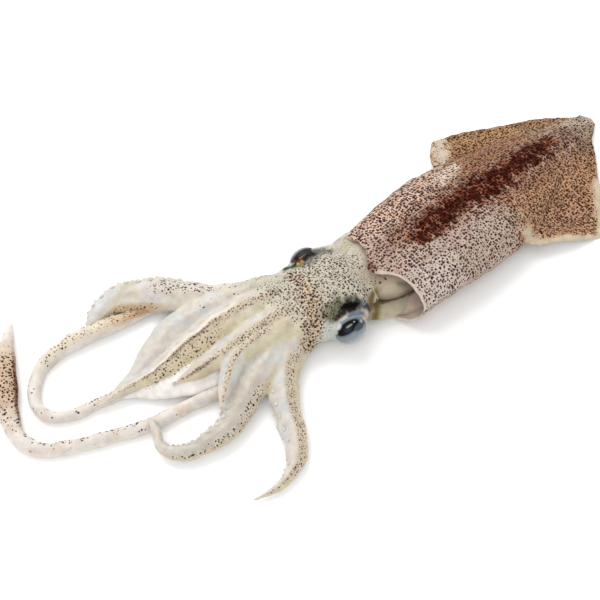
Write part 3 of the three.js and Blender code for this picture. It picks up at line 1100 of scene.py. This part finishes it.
ARMS = (
    Limb(
        "arm_right_1",
        Route(((-24, 12, 12), (-46, 25.5, 13.4), (-66, 32, 11), (-86, 34, 9), (-104, 34.5, 7),
               (-119, 38.5, 5), (-131, 41, 4))),
        (5, 7.5, 7.2, 6.8, 5.2, 3.2, 1.2), (5, 5.5, 5.2, 4.6, 3.6, 2.6, 1.1),
        bands=(
            Band(20, 50, 0.2, 0.8, tone="#e3dac2"),
            Band(24, 70, 0.42, 0.85, tone="#ddcdac", ink="#4a2e1a", spots=0.8, crowd=0.7, fade=0.1),
            Band(100, 14, 0.35, 0.9, tone="#efe6d6"),
            ridge_band(0.2, 1.0, 80, 16, 0.9),
            Band(86, 4, 0.45, 0.8, tone="#6b4a2e", strength=0.75),
        ),
    ),
    Limb(
        "arm_left_1",
        Route(((-24, 10, 12), (-45, 15, 13.4), (-64, 18, 11.4), (-79, 20.5, 9.8), (-92, 22.5, 8),
               (-102, 25.5, 6.5))),
        (5, 7.5, 7.6, 7, 4.8, 1.2), (5, 5.5, 5.2, 4.4, 3, 1.1),
        bands=(
            Band(20, 45, 0.3, 0.95, tone="#d8caa8", strength=0.85),
            ridge_band(0.15, 1.0, 80, 18, 0.85),
            Band(80, 6, 0.75, 1.0, tone="#6b4a34", strength=0.8),
        ),
    ),
    Limb(
        "arm_right_2",
        Route(((-24, 16, 11), (-46, 33.5, 10), (-68, 43, 7.5), (-86, 46, 6), (-98, 43, 5),
               (-112, 40, 4.5), (-127, 41, 4))),
        (6.5, 7.5, 8, 8, 7, 4.8, 1.5), (6, 6, 5.5, 5, 4, 3, 1.2),
        bands=(Band(90, 50, 0.1, 0.5, spots=0.8, crowd=0.08),),
    ),
    Limb(
        "arm_left_2",
        Route(((-23, 8, 11), (-46, 9.5, 12), (-66, 14.5, 11.5), (-79, 13, 11), (-89, 7, 10),
               (-97, 1, 8))),
        (5, 6.8, 6.4, 5.8, 4.2, 1.3), (5, 5.5, 5, 4.2, 3, 1.1),
        bands=(
            Band(36, 28, 0.26, 0.7, tone="#dcd3ad", strength=0.7, fade=0.14),
            ridge_band(0.42, 1.0, 90, 18, 0.7),
        ),
    ),
    Limb(
        "arm_right_3",
        Route(((-26, 20, 8), (-43, 33, 7), (-58, 46, 5.5), (-70, 60, 5), (-80, 70.5, 5),
               (-89.5, 76.4, 5), (-99, 76.8, 4.5), (-110, 71.5, 4))),
        (6.5, 7, 7.2, 7.8, 9, 8.6, 5.8, 1.5), (6, 5.5, 5, 4.8, 4.5, 4, 3.2, 1.2),
        bands=(
            Band(110, 40, 0.35, 0.66, tone="#ded3c6", ink="#2a1812", spots=1.0, crowd=0.72),
            Band(20, 24, 0.6, 1.0, tone="#c9ae8a", ink="#3a2015", spots=0.8, crowd=0.7),
        ),
        suckers=SuckerRows(0.55, 0.97, 10, 168, 1.6, 0.7),
    ),
    Limb(
        "arm_left_3",
        Route(((-23, 6, 9), (-48, 6.5, 8.5), (-69, 5.5, 7), (-86, -0.7, 6), (-99, -5.2, 5.5),
               (-111, -4.3, 5), (-120, -0.5, 4.5), (-124.5, 7, 5), (-121, 15, 6),
               (-119.5, 22, 6.5))),
        (6.5, 8, 9, 8.2, 7, 6.2, 5.2, 3.8, 2.4, 1.2), (6, 6, 5.5, 5, 4.6, 4, 3.5, 3, 2.4, 1.1),
        bands=(
            Band(80, 60, 0.45, 0.8, tone="#cfc7ba"),
            Band(12, 24, 0.3, 0.9, tone="#d6caae", fade=0.12),
            Band(36, 34, 0.42, 0.85, ink="#2e1a10", spots=0.8, crowd=0.8, dust=0.6),
        ),
        suckers=SuckerRows(0.42, 0.9, 12, 160, 1.5, 0.7),
    ),
    Limb(
        "arm_left_4",
        Route(((-23, 4, 8), (-46, 5, 6.6), (-60, 1, 5.5), (-71, -9, 5), (-78, -19, 5),
               (-83, -28, 4.6), (-91, -36, 4), (-102.6, -38.2, 3), (-114, -35, 1.6))),
        (6.5, 7.5, 7.6, 6.8, 6.2, 5.6, 4.2, 2.2, 0.8), (6, 6, 5.5, 5, 5, 4.6, 3.8, 2.2, 0.8),
        bands=(
            Band(10, 44, 0.3, 0.95, tone="#dacdb0"),
            Band(30, 30, 0.5, 0.9, tone="#e0d0b6", ink="#3a2015", spots=0.82, crowd=0.8, fade=0.1),
            ridge_band(0.15, 0.97, 62, 26, 0.85),
        ),
        suckers=SuckerRows(0.3, 0.85, 11, 160, 1.4, 0.6),
    ),
    Limb(
        "arm_right_4",
        Route(((-27, 14, 6), (-50, 19, 5), (-70, 19, 4.8), (-88, 21.5, 4.2), (-103, 28, 3.5),
               (-114, 36, 3), (-125, 42.5, 2.6))),
        (6.5, 7.5, 8, 8.8, 7.2, 4.4, 1.3), (6, 5.2, 4.8, 4.2, 3.6, 3, 1.2),
        # painted light: the arm that lies underneath is laid almost white, to brighten it where it lies in
        # shade
        bands=(Band(90, 120, 0.3, 1.0, tone="#fffaf5"),),
    ),
)

TENTACLES = (
    Limb(
        "tentacle_right",
        Route(((-34, 18, 8), (-60, 27, 5), (-90, 33, 3.2), (-114, 38.5, 2.6), (-130, 43, 2.6),
               (-140, 46, 2.6), (-147, 52, 2.6), (-147.5, 60, 2.6), (-142, 68, 2.6),
               (-133, 73.5, 2.6), (-121, 74, 3.4), (-108, 71, 4), (-92, 66, 4), (-78, 61, 3))),
        (3, 3, 2.8, 2.7, 2.7, 2.6, 2.5, 2.5, 2.6, 3, 3.6, 3.9, 3.2, 0.9),
        (2.8, 2.8, 2.6, 2.5, 2.5, 2.5, 2.5, 2.5, 2.5, 2.7, 3.3, 3.6, 2.9, 0.8),
        keel=0.0,
        edged=1.05,
        bands=(
            Band(90, 80, 0.3, 0.78, spots=0.7, crowd=0.13),
            Band(120, 26, 0.34, 0.5, ink="#33201a", spots=0.8, crowd=0.6),
            Band(80, 60, 0.72, 1.0, tone="#ebdfc8", ink="#4a2c18", spots=0.7, crowd=0.7),
            Band(80, 70, 0.9, 1.0, tone="#d0ad84", ink="#5b3423"),
            Band(60, 70, 0.96, 1.0, tone="#94704a"),
        ),
        suckers=SuckerRows(0.8, 0.98, 6, 0, 1.2, 0.6),
        rings=300,
        around=36,
    ),
    Limb(
        "tentacle_left",
        Route(((-34, 8, 7), (-60, 7.5, 3.4), (-82, 10, 2.8), (-102, 15, 2.8), (-121, 20, 2.8),
               (-137, 27.5, 2.8), (-150, 34.5, 2.8), (-159.5, 42, 2.8), (-162.5, 52, 2.8),
               (-159.5, 62, 3), (-154, 71, 3.5), (-147, 81, 4), (-139, 91, 3.6), (-129, 101, 2))),
        (3.2, 3.2, 3, 3, 3, 3, 3, 3, 3.1, 3.4, 4.4, 5, 3.8, 0.9),
        (3, 3, 2.8, 2.7, 2.7, 2.7, 2.7, 2.7, 2.8, 3, 3.6, 3.8, 2.8, 0.8),
        keel=0.0,
        edged=1.05,
        bands=(
            Band(90, 80, 0.25, 0.8, spots=0.7, crowd=0.13),
            Band(120, 28, 0.42, 0.72, ink="#33201a", spots=0.85, crowd=0.6),
            Band(100, 70, 0.76, 0.92, tone="#d4b698", ink="#2e140a", spots=0.95, crowd=0.95),
            Band(150, 16, 0.74, 0.9, tone="#84523a", ink="#3a150c", spots=0.9, crowd=1.0, bloom=0.25),
        ),
        suckers=SuckerRows(0.78, 0.98, 8, 0, 1.3, 0.6),
        rings=300,
        around=36,
    ),
)


@dataclass(frozen=True)
class Web:
    """A thin membrane between two neighbouring limbs near their bases."""

    first: str
    second: str
    start: float
    end: float
    thickness: float = 2.0
    drop: float = 1.0
    rings: int = 60
    around: int = 40

    def place(self, share: Array, angle: Array, limbs: dict[str, Limb]) -> Array:
        """Places on the membrane's closed shell."""
        reach = self.start + (self.end - self.start) * share
        a, _, _ = limbs[self.first].route.at(reach)
        b, _, _ = limbs[self.second].route.at(reach)
        opened = rounded(share, 0.1, 0.25)
        across = (np.cos(angle) * opened + 1) / 2
        point = a + (b - a) * across[:, None]
        point[:, 2] += (self.thickness / 2) * np.sin(angle) * opened - self.drop
        return point


# ---------------------------------------------------------------- head


@dataclass(frozen=True)
class Eye:
    """One eye: its globe, and the swelling of skin that holds it."""

    node: str
    centre: Point
    gaze: Point
    pupil: Point
    pupil_along: Point
    radius: float = 7.5
    lid: float = 9.0
    lid_inset: float = 3.0
    pupil_length: float = 38.0  # degrees from the pupil's middle to its ends
    pupil_width: float = 15.5
    rings: tuple[tuple[float, str], ...] = (
        (0.0, "#070a14"), (0.9, "#020307"), (1.12, "#0e1316"), (1.3, "#6a7479"), (1.6, "#8b959a"),
        (2.6, "#949da4"), (4.0, "#b9bdc5"), (7.0, "#cdccd4"),
    )
    marks: tuple[tuple[float, float, float, float, str], ...] = (  # along, across, half sizes, colour
        # painted shade: the first mark, dark grey at the lower right, stands in for the shade on the
        # globe's underside
        (0.95, -1.3, 0.8, 1.0, "#4d565d"), (-0.75, 1.5, 0.55, 1.0, "#dddcdc"),
        (-1.3, 0.7, 0.4, 0.7, "#cdd0c6"), (-0.12, -0.6, 0.5, 0.5, "#171b48"),
        # painted reflection: the grey-green crescent in the pupil; painted highlight: the small pale glint
        # beside it
        (0.2, 0.18, 0.42, 0.26, "#93a088"), (0.75, 0.3, 0.12, 0.16, "#c9d2d2"),
        # painted shade: the second mark on the next line, brown-grey at the far lower right, darkens the
        # globe's underside further
        (1.4, -0.5, 0.16, 0.6, "#c2c4c4"), (1.6, -1.3, 0.22, 0.8, "#6f645b"),
    )

    def swelling(self, flesh: BMesh) -> None:
        """Adds the swelling of the head round the globe."""
        behind = Vector(self.centre) - Vector(self.gaze).normalized() * self.lid_inset
        ball = bmesh.new()
        bmesh.ops.create_uvsphere(
            ball, u_segments=48, v_segments=32, radius=self.lid, matrix=Matrix.Translation(behind)
        )
        merge(flesh, ball)

    def colours(self, out: Array) -> Array:
        """Linear colours on the globe.

        Args:
            out: Unit directions from the globe's middle.

        Returns:
            Red, green and blue for each.
        """
        look = np.array(self.pupil) / np.linalg.norm(self.pupil)
        length = np.array(self.pupil_along) - look * np.dot(self.pupil_along, look)
        length /= np.linalg.norm(length)
        width = np.cross(look, length)
        tilt = np.degrees(np.arccos(np.clip(out @ look, -1, 1)))
        turn = np.arctan2(out @ width, out @ length)
        u, v = tilt * np.cos(turn) / self.pupil_length, tilt * np.sin(turn) / self.pupil_width
        oval = np.hypot(u, v)
        stops = [stop for stop, _ in self.rings]
        table = np.array([linear(colour)[:3] for _, colour in self.rings])
        colours = np.stack([np.interp(oval, stops, table[:, k]) for k in range(3)], -1)
        for middle_u, middle_v, half_u, half_v, colour in self.marks:
            cover = ease(1.0, 0.5, np.hypot((u - middle_u) / half_u, (v - middle_v) / half_v))
            colours = colours + (np.array(linear(colour)[:3]) - colours) * cover[:, None]
        return colours

    def build(self, material: Material) -> Piece:
        """Makes the globe with its pupil and iris.

        Args:
            material: The eye's finish.

        Returns:
            The piece.
        """
        globe = bmesh.new()
        bmesh.ops.create_uvsphere(globe, u_segments=128, v_segments=96, radius=self.radius)
        out = np.array([vertex.co for vertex in globe.verts]) / self.radius
        for vertex in globe.verts:
            vertex.co = to_part(np.array(vertex.co) + np.array(self.centre))
        piece = new_piece(f"{self.node}_globe", globe)
        write_colour(piece, "tone", self.colours(out))
        piece.data.materials.append(material)
        return piece


@dataclass(frozen=True)
class SuckerShape:
    """A small cup: a low collar with a dished face."""

    sides: int = 10
    foot: float = 0.85
    height: float = 0.75
    rim: float = 0.32
    dish: float = 0.3

    def add(self, target: BMesh, place: Array, outward: Array, radius: float) -> None:
        """Adds one cup to a mesh.

        Args:
            target: The mesh, in the animal's millimetres.
            place: Where the cup stands.
            outward: The direction that it faces.
            radius: Its outer radius.
        """
        cup = bmesh.new()
        bmesh.ops.create_cone(
            cup, cap_ends=True, segments=self.sides, radius1=self.foot, radius2=1.0, depth=self.height
        )
        top = [face for face in cup.faces if face.normal.z > 0.9]
        bmesh.ops.inset_region(cup, faces=top, thickness=self.rim, depth=0.0)
        bmesh.ops.translate(cup, verts=list({v for f in top for v in f.verts}), vec=(0, 0, -self.dish))
        turn = Vector((0, 0, 1)).rotation_difference(Vector(outward)).to_matrix().to_4x4()
        size = Matrix.Diagonal((radius, radius, radius, 1))
        bmesh.ops.transform(cup, verts=cup.verts, matrix=Matrix.Translation(place) @ turn @ size)
        merge(target, cup)


@dataclass(frozen=True)
class Lump:
    """A closed rounded mass swept along a short route."""

    route: Route
    wide: tuple[float, ...]
    tall: tuple[float, ...]
    first_end: float = 0.15
    last_end: float = 0.15
    squareness: float = 2.0
    rings: int = 70
    around: int = 72

    def place(self, share: Array, angle: Array) -> Array:
        """Places on the lump's skin."""
        middle, side, up = self.route.at(share)
        closing = rounded(share, self.first_end, self.last_end)
        power = 2 / self.squareness
        across = along(self.wide, share) * closing * signed_power(np.cos(angle), power)
        rise = along(self.tall, share) * closing * signed_power(np.sin(angle), power)
        return middle + side * across[:, None] + up * rise[:, None]


HEAD_STROKES = (
    # neck, spotless where it is covered
    Brush(((20, 2), (0, 4), (-10, 6)), (20, 16, 10), tone="#c2b5a2", spots=0.6, crowd=0.4),
    Brush(((12, 16), (2, 18), (-6, 20)), (10, 9, 7.5), tone="#cdc4ae", spots=0.0, crowd=0.0, hardness=0.4),
    Brush(((-6, 26), (-9, 28)), (4, 4), tone="#dcdcd0", spots=0.0, crowd=0.0),
    Brush(((-13.2, -4.4), (-15.8, -5.6), (-17.6, -7.2), (-18.6, -8.8)), (1.7, 2.1, 2.2, 2.2),
          tone="#84703f", ragged=0.15, hardness=0.1, reach=Reach.ALL, **BARE),
    # top of the head, greyish cream
    Brush(((-13, 13), (-20, 14), (-34, 17)), (11, 17, 17), tone="#c6c0ad", ink="#352c1e", spots=0.9,
          crowd=1.0, dust=0.9),
    Brush(((-14, 26), (-26, 26)), (6, 6), tone="#a9ab9b", strength=0.7),
    # tan flush in front of the left eye
    Brush(((-34, 22), (-36, 11), (-40, 3), (-49, -1)), (5, 6, 6.5, 5), tone="#c9b08c", ink="#26120a",
          spots=1.08, crowd=1.0, dust=1.0),
    # dark skin over the left eye
    Brush(((-37, 1), (-31, -0.5), (-24, -2.5)), (5, 6, 4), tone="#77755a", strength=0.8, dust=0.9),
    Brush(((-36.5, -1), (-32.5, 0.2), (-29, 0.8)), (3.2, 3.4, 2.6), tone="#525a26", ink="#0c0a04",
          spots=0.9, crowd=1.0, strength=0.9),
    Brush(((-24.8, -3), (-22.5, -4.4), (-20, -6)), (2, 2.1, 2), tone="#6c7c79", strength=0.85),
    Brush(((-17.6, -2.4), (-18.2, -5.4)), (1.8, 1.8), tone="#a88c86", strength=0.6),
    Brush(((-36, -2.6), (-33, -3), (-30, -3.2), (-27, -4.2), (-23.6, -5.6)), (2.6, 4, 4.8, 4.6, 3.4),
          tone="#030201", ink="#020100", spots=0.0, dust=0.0, hardness=0.3),
    Brush(((-36.5, -2.2), (-33.2, -1.8), (-31, -0.6)), (2.2, 2.4, 2), tone="#566030", ink="#0c0a04",
          spots=0.9, crowd=1.0, dust=1.0, strength=0.85, hardness=0.0),
    Brush(((-23.6, -6.6), (-20.4, -7.8)), (1.9, 2.0), tone="#3d3a58", spots=0.0, strength=0.95,
          reach=Reach.ALL),
    Brush(((-35.5, -4.2), (-31, -5.6), (-26, -6.9)), (1.8, 1.8, 1.8), tone="#241612", spots=0.0, dust=0.0,
          bloom=0.0, hardness=0.0),
    Brush(((-37.5, -5.6), (-34.6, -6.3), (-32, -7)), (1.6, 1.5, 1.3), tone="#d0d0cc", reach=Reach.ALL,
          **BARE),
    Brush(((-31, -7.6), (-28, -8.2), (-24.4, -9)), (1.6, 1.9, 2), tone="#76838f", reach=Reach.ALL, **BARE),
    Brush(((-21.6, -8.9), (-23.2, -10.6), (-25.5, -12)), (1.3, 1.5, 1.5), tone="#d8c5b7", reach=Reach.ALL,
          **BARE),
    Brush(((-40, -5), (-37.6, -7.5)), (4.2, 3.6), tone="#cfd4ce", spots=0.0, crowd=0.0, reach=Reach.ALL),
    # dark streak under the right eye, with gold in it
    Brush(((-31.5, 30.4), (-28, 28.6), (-25.5, 27.8), (-22.6, 26.8), (-19, 26.6), (-16.4, 26.8)),
          (2.2, 2.9, 3.2, 3.2, 3, 2.4), tone="#0e0c07", ink="#050403", spots=0.0, hardness=0.4, ragged=0.15,
          reach=Reach.ALL),
    Brush(((-16.5, 27), (-13.6, 25.6), (-11.8, 23)), (2.4, 2.8, 2.2), tone="#63675f", spots=0.6,
          strength=0.9, reach=Reach.ALL),
    Brush(((-26, 24), (-22.5, 23.4), (-19, 23.6)), (3, 3.6, 3.4), tone="#7c7f77", spots=1.1, crowd=1.0,
          dust=1.0, strength=0.85, hardness=0.0),
    Brush(((-30, 27.6), (-27, 25.8)), (1.6, 1.6), tone="#5c6636", strength=0.8),
    Brush(((-25.4, 28.8), (-24, 28)), (1, 1), tone="#6a2412", ragged=0.6, spots=0.0),
    Brush(((-26.2, 27.8), (-24.6, 27)), (0.9, 0.9), tone="#c0912c", ink="#1a1206", ragged=0.9, spots=0.8,
          crowd=1.0),
    Brush(((-26.8, 26.6), (-25.6, 26)), (0.8, 0.8), tone="#86862c", ragged=0.7, spots=0.0),
    Brush(((-17, 34), (-10, 31.5), (-5, 26)), (4, 4, 4), tone="#a3a19f", spots=0.2, crowd=0.2,
          strength=0.85, reach=Reach.ALL),
)


@dataclass(frozen=True)
class Head:
    """Head, neck, arms and the webs between them, as one skin."""

    skull: Lump = Lump(
        Route(((-7, 8, 11), (-18, 9.5, 11.2), (-28, 12, 11), (-40, 16, 10), (-54, 21, 8.5))),
        (17, 20, 20.5, 19, 13), (10.8, 11.3, 11.2, 9.6, 6), first_end=0.3, last_end=0.12,
    )
    neck: Lump = Lump(
        Route(((30, 4, 10.5), (14, 6, 10.5), (0, 8.5, 11), (-14, 10, 11), (-24, 11, 11))),
        (13, 13.5, 15.5, 16, 12), (8.5, 8.6, 8.8, 9.3, 9),
    )
    cheek: Lump = Lump(
        Route(((12, 17, 10.5), (1, 20.2, 10.8), (-8, 21.2, 11), (-18, 25.5, 10.5), (-32, 28, 10.6))),
        (6, 8, 6.8, 9.2, 8.2), (6.2, 7.8, 7.4, 8.5, 7.6), first_end=0.15, last_end=0.3,
    )
    eyes: tuple[Eye, ...] = (
        Eye("eye_left", LEFT_EYE, (-0.28, -0.88, 0.38), (-0.51, -0.39, 0.78), (0.84, -0.3, 0.44)),
        Eye(
            "eye_right", (-20.5, 28.5, 11.3), (0.25, 0.85, 0.45), (0.2, 0.97, -0.1), (0.9, -0.2, 0.3),
            pupil_length=17.0,
            pupil_width=17.0,
            rings=((0.0, "#c9c9cf"), (2.6, "#cfced4"), (3.3, "#a3a1a6"), (3.8, "#8b878a"),
                   (4.2, "#3a322b"), (4.6, "#150f08"), (7.0, "#0d0905")),
            marks=((2.7, -4.7, 1.1, 1.1, "#2b2c29"), (-2.7, -4.3, 0.9, 0.9, "#3f4034"),
                   (-1.0, -5.5, 0.5, 0.3, "#b07a1c"), (-0.3, -5.6, 0.35, 0.25, "#5a160c")),
        ),
    )
    arms: tuple[Limb, ...] = ARMS
    webs: tuple[Web, ...] = (
        Web("arm_right_1", "arm_left_1", 0.1, 0.78),
        Web("arm_right_1", "arm_right_2", 0.1, 0.75),
        Web("arm_right_2", "arm_right_3", 0.1, 0.42),
        Web("arm_left_1", "arm_left_2", 0.1, 0.62),
        Web("arm_left_2", "arm_left_3", 0.1, 0.5),
        Web("arm_left_3", "arm_left_4", 0.1, 0.42),
    )
    fusing: Fusing = Fusing(voxel=0.68, passes=3, ripples=((0.35, 12.0), (0.1, 5.0)))
    strokes: tuple[Brush, ...] = HEAD_STROKES

    def build(self) -> Piece:
        """Makes the head with its arms as one skin.

        Returns:
            The piece.
        """
        flesh = bmesh.new()
        for lump in (self.skull, self.neck, self.cheek):
            add_shell(flesh, lump)
        for eye in self.eyes:
            eye.swelling(flesh)
        for arm in self.arms:
            add_shell(flesh, arm)
        limbs = {arm.name: arm for arm in self.arms}
        for web in self.webs:
            add_shell(flesh, web, limbs)
        coat = Paint.primed(self.fusing.fuse("head_and_arms", flesh), tone="#ddd5cb", ink="#2e1c14")
        self.paint(coat)
        skin = SquidSkin("squid_skin_arms", edge=0.18, dot=0.6, subsurface=0.6, subsurface_depth=2.0)
        return coat.finish(skin.build())

    def paint(self, coat: Paint) -> None:
        """Lays the skin's colours and spots on head and arms."""
        coat.lay(ease(-0.2, 0.6, wander(coat.points, 16)), tone="#d8d7d4")
        coat.lay(0.6 * ease(0.1, 0.8, wander(coat.points, 13, seed=2.0)), tone="#dacfb6")
        on_head = ease(-58, -44, coat.points[:, 0])
        coat.lay(on_head, tone="#cdc6b3", ink="#30261b", spots=0.88, crowd=1.0, dust=0.6)
        paint_limbs(coat, self.arms)
        for brush in self.strokes:
            brush.stroke(coat)


@dataclass(frozen=True)
class Gullet:
    """One smooth lobe of flesh that shows in the mantle's opening, below the neck."""

    name: str
    lump: Lump
    tone: str
    strokes: tuple[Brush, ...] = ()

    def build(self, skin: Material) -> Piece:
        """Makes the piece.

        Args:
            skin: The finish.

        Returns:
            The piece.
        """
        flesh = bmesh.new()
        add_shell(flesh, self.lump)
        coat = Paint.primed(piece_in_place(self.name, flesh, GROUND), tone=self.tone, ink="#33251c")
        for brush in self.strokes:
            brush.stroke(coat)
        return coat.finish(skin)


# a streak under the left eye that runs over collar and funnel
OLIVE = Brush(
    ((-12.2, -5), (-13.4, -7), (-15.5, -9), (-19, -10.6), (-22.5, -11)), (2, 2.6, 2.8, 2.6, 2.2),
    tone="#84703f", dust=0.0, spots=0.0, ragged=0.15, hardness=0.1, reach=Reach.ALL,
)

THROAT = (
    Gullet(
        "collar",
        Lump(
            Route(((24, 0, 12), (10, 0.5, 12.6), (-1, 1, 12.8), (-12.5, 4.5, 12.8))),
            (13.5, 14.5, 13.4, 9), (6.5, 7.4, 7.6, 6), first_end=0.1, last_end=0.2, squareness=3.0,
        ),
        "#bfae98",
        (
            Brush(((-12, -3), (-7, -3.5)), (4.5, 4.5), tone="#b3a48d", spots=0.8, crowd=0.75, dust=0.6),
            Brush(((2, -12.6), (-4, -10.6), (-9, -7.6)), (1.6, 1.6, 1.4), tone="#c4baa4", ragged=0.1),
            # painted shadow: a soft dark streak on the collar's far end, where the mantle's rim hangs over
            # it
            Brush(((-3.4, -10), (-1.6, -11.6), (0.4, -12.6)), (1.8, 2, 2.2), tone="#7d6f60", ragged=0.0,
                  hardness=0.0, strength=0.8),
            # painted shadow: a dark line on the collar's underside along its lower edge, where it hangs
            # over the funnel
            Brush(((-12, -6), (-9.5, -8.6), (-4.5, -11.6), (2, -13.4), (12, -13.6)), (2.4,) * 5,
                  tone="#5c4b39", hardness=0.5, ragged=0.1, reach=Reach.UNDER),
            OLIVE,
        ),
    ),
    Gullet(
        "funnel",
        Lump(
            Route(((18, -4.5, 6), (4, -6, 5.5), (-8, -6.5, 5), (-20, 0, 4.5))),
            (10.5, 11, 8, 4.5), (5.2, 5, 4.4, 3.5), first_end=0.1, last_end=0.15,
        ),
        "#c3baa2",
        (
            # painted shadow: a dark line along the top of the funnel, just under the collar's edge
            Brush(((-11.4, -5.6), (-10, -7.8), (-6, -10), (0, -12)), (1.6, 1.6, 1.4, 1.4), tone="#7d634a",
                  ragged=0.2),
            OLIVE,
        ),
    ),
    Gullet(
        "pocket",
        Lump(
            Route(((22, -7, 6), (8, -8.5, 5.6), (-1, -9.5, 4.8), (-8, -11, 3))),
            (15, 14.5, 12.5, 8), (5.8, 5.4, 4.4, 2.6), first_end=0.1, last_end=0.2, squareness=2.6,
        ),
        "#c6b1a3",
        # painted shadow: a dark line on the pocket, just under the collar's edge
        (Brush(((-5, -10.5), (0, -12.6), (6, -13.6)), (1.6, 1.6, 1.6), tone="#6d5744", ragged=0.15),),
    ),
)


def build_tentacles() -> Piece:
    """Makes both tentacles as one piece.

    Returns:
        The piece.
    """
    flesh = bmesh.new()
    for limb in TENTACLES:
        add_shell(flesh, limb)
    coat = Paint.primed(piece_in_place("tentacles", flesh, GROUND), tone="#ebe4db", ink="#3a241a")
    coat.lay(ease(0.0, 0.7, wander(coat.points, 12)), tone="#e9dbcf")
    paint_limbs(coat, TENTACLES)
    return coat.finish(pale_skin("squid_skin_tentacles"))


def build_suckers() -> Piece:
    """Makes all suckers as one piece.

    Returns:
        The piece.
    """
    cups = bmesh.new()
    count = sum(limb.cups(SuckerShape(), cups) for limb in (*ARMS, *TENTACLES))
    log.info("suckers: %d cups", count)
    coat = Paint.primed(piece_in_place("suckers", cups, 0.0), tone="#e0dbd0", ink="#8a6a55")
    return coat.finish(SquidSkin("squid_sucker_flesh", relief=0.03).build())


# ---------------------------------------------------------------- studio


@dataclass(frozen=True)
class Softbox:
    """A soft square light."""

    name: str
    place: Point  # metres
    size: float
    power: float

    def build(self, target: Vector) -> None:
        """Hangs the light and turns it to a place."""
        light = bpy.data.lights.new(self.name, "AREA")
        light.shape = "SQUARE"
        light.size = self.size
        light.energy = self.power
        holder = bpy.data.objects.new(self.name, light)
        holder.location = self.place
        holder.rotation_euler = (target - Vector(self.place)).to_track_quat("-Z", "Y").to_euler()
        bpy.context.scene.collection.objects.link(holder)


@dataclass(frozen=True)
class Studio:
    """Pale table, soft light and the camera."""

    target: Point = (-0.0209, -0.0029, 0.0)
    distance: float = 0.62
    elevation: float = 54.0
    azimuth: float = -44.7
    frame_width: float = 0.264  # metres across the picture at the target
    table_size: float = 4.0
    surroundings: float = 0.85
    softboxes: tuple[Softbox, ...] = (
        Softbox("key", (0.15, 0.75, 0.85), 1.0, 9.5),
        Softbox("fill", (-0.7, -0.5, 0.7), 0.9, 4.0),
    )

    def build(self) -> Piece:
        """Sets table, lights, surroundings and camera, and returns the table."""
        target = Vector(self.target)
        for softbox in self.softboxes:
            softbox.build(target)
        world = bpy.data.worlds.new("surroundings")
        world.use_nodes = True
        world.node_tree.nodes["Background"].inputs["Strength"].default_value = self.surroundings
        world.node_tree.nodes["Background"].inputs["Color"].default_value = linear("#ffffff")
        bpy.context.scene.world = world
        bpy.context.scene.view_settings.view_transform = "Standard"

        camera = bpy.data.cameras.new("camera")
        camera.sensor_width = 36.0
        camera.lens = camera.sensor_width * self.distance / self.frame_width
        camera.clip_start = 0.01
        rise, turn = math.radians(self.elevation), math.radians(self.azimuth)
        away = Vector((math.sin(turn) * math.cos(rise), -math.cos(turn) * math.cos(rise), math.sin(rise)))
        holder = bpy.data.objects.new("camera", camera)
        holder.location = target + away * self.distance
        holder.rotation_euler = (-away).to_track_quat("-Z", "Y").to_euler()
        bpy.context.scene.collection.objects.link(holder)
        bpy.context.scene.camera = holder

        board = bmesh.new()
        bmesh.ops.create_grid(board, x_segments=1, y_segments=1, size=self.table_size / 2)
        table = new_piece("table", board)
        table.data.materials.append(PaleTable().build())
        return table


# ---------------------------------------------------------------- all together


def report(piece: Piece) -> None:
    """Logs a piece's name, triangles and size."""
    triangles = sum(len(face.vertices) - 2 for face in piece.data.polygons)
    size = " x ".join(f"{side / MM:.1f}" for side in piece.dimensions)
    log.info("%s: %d triangles, %s mm", piece.name, triangles, size)


def main() -> None:
    """Builds the squid, lights it and hands each piece to the frame."""
    logging.basicConfig(level=logging.INFO, format="%(name)s %(message)s")
    Studio().build()
    head = Head()
    throat_skin = pale_skin("squid_skin_throat")
    flesh = [
        Mantle().build(),
        head.build(),
        *(lobe.build(throat_skin) for lobe in THROAT),
        build_tentacles(),
        build_suckers(),
    ]
    for piece in flesh:
        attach(piece, "root")
        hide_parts("squid")
        report(piece)
    for eye in head.eyes:
        globe = eye.build(EyeGlass(f"squid_{eye.node}").build())
        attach(globe, "root")
        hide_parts(eye.node)
        report(globe)


if __name__ == "__main__":
    main()
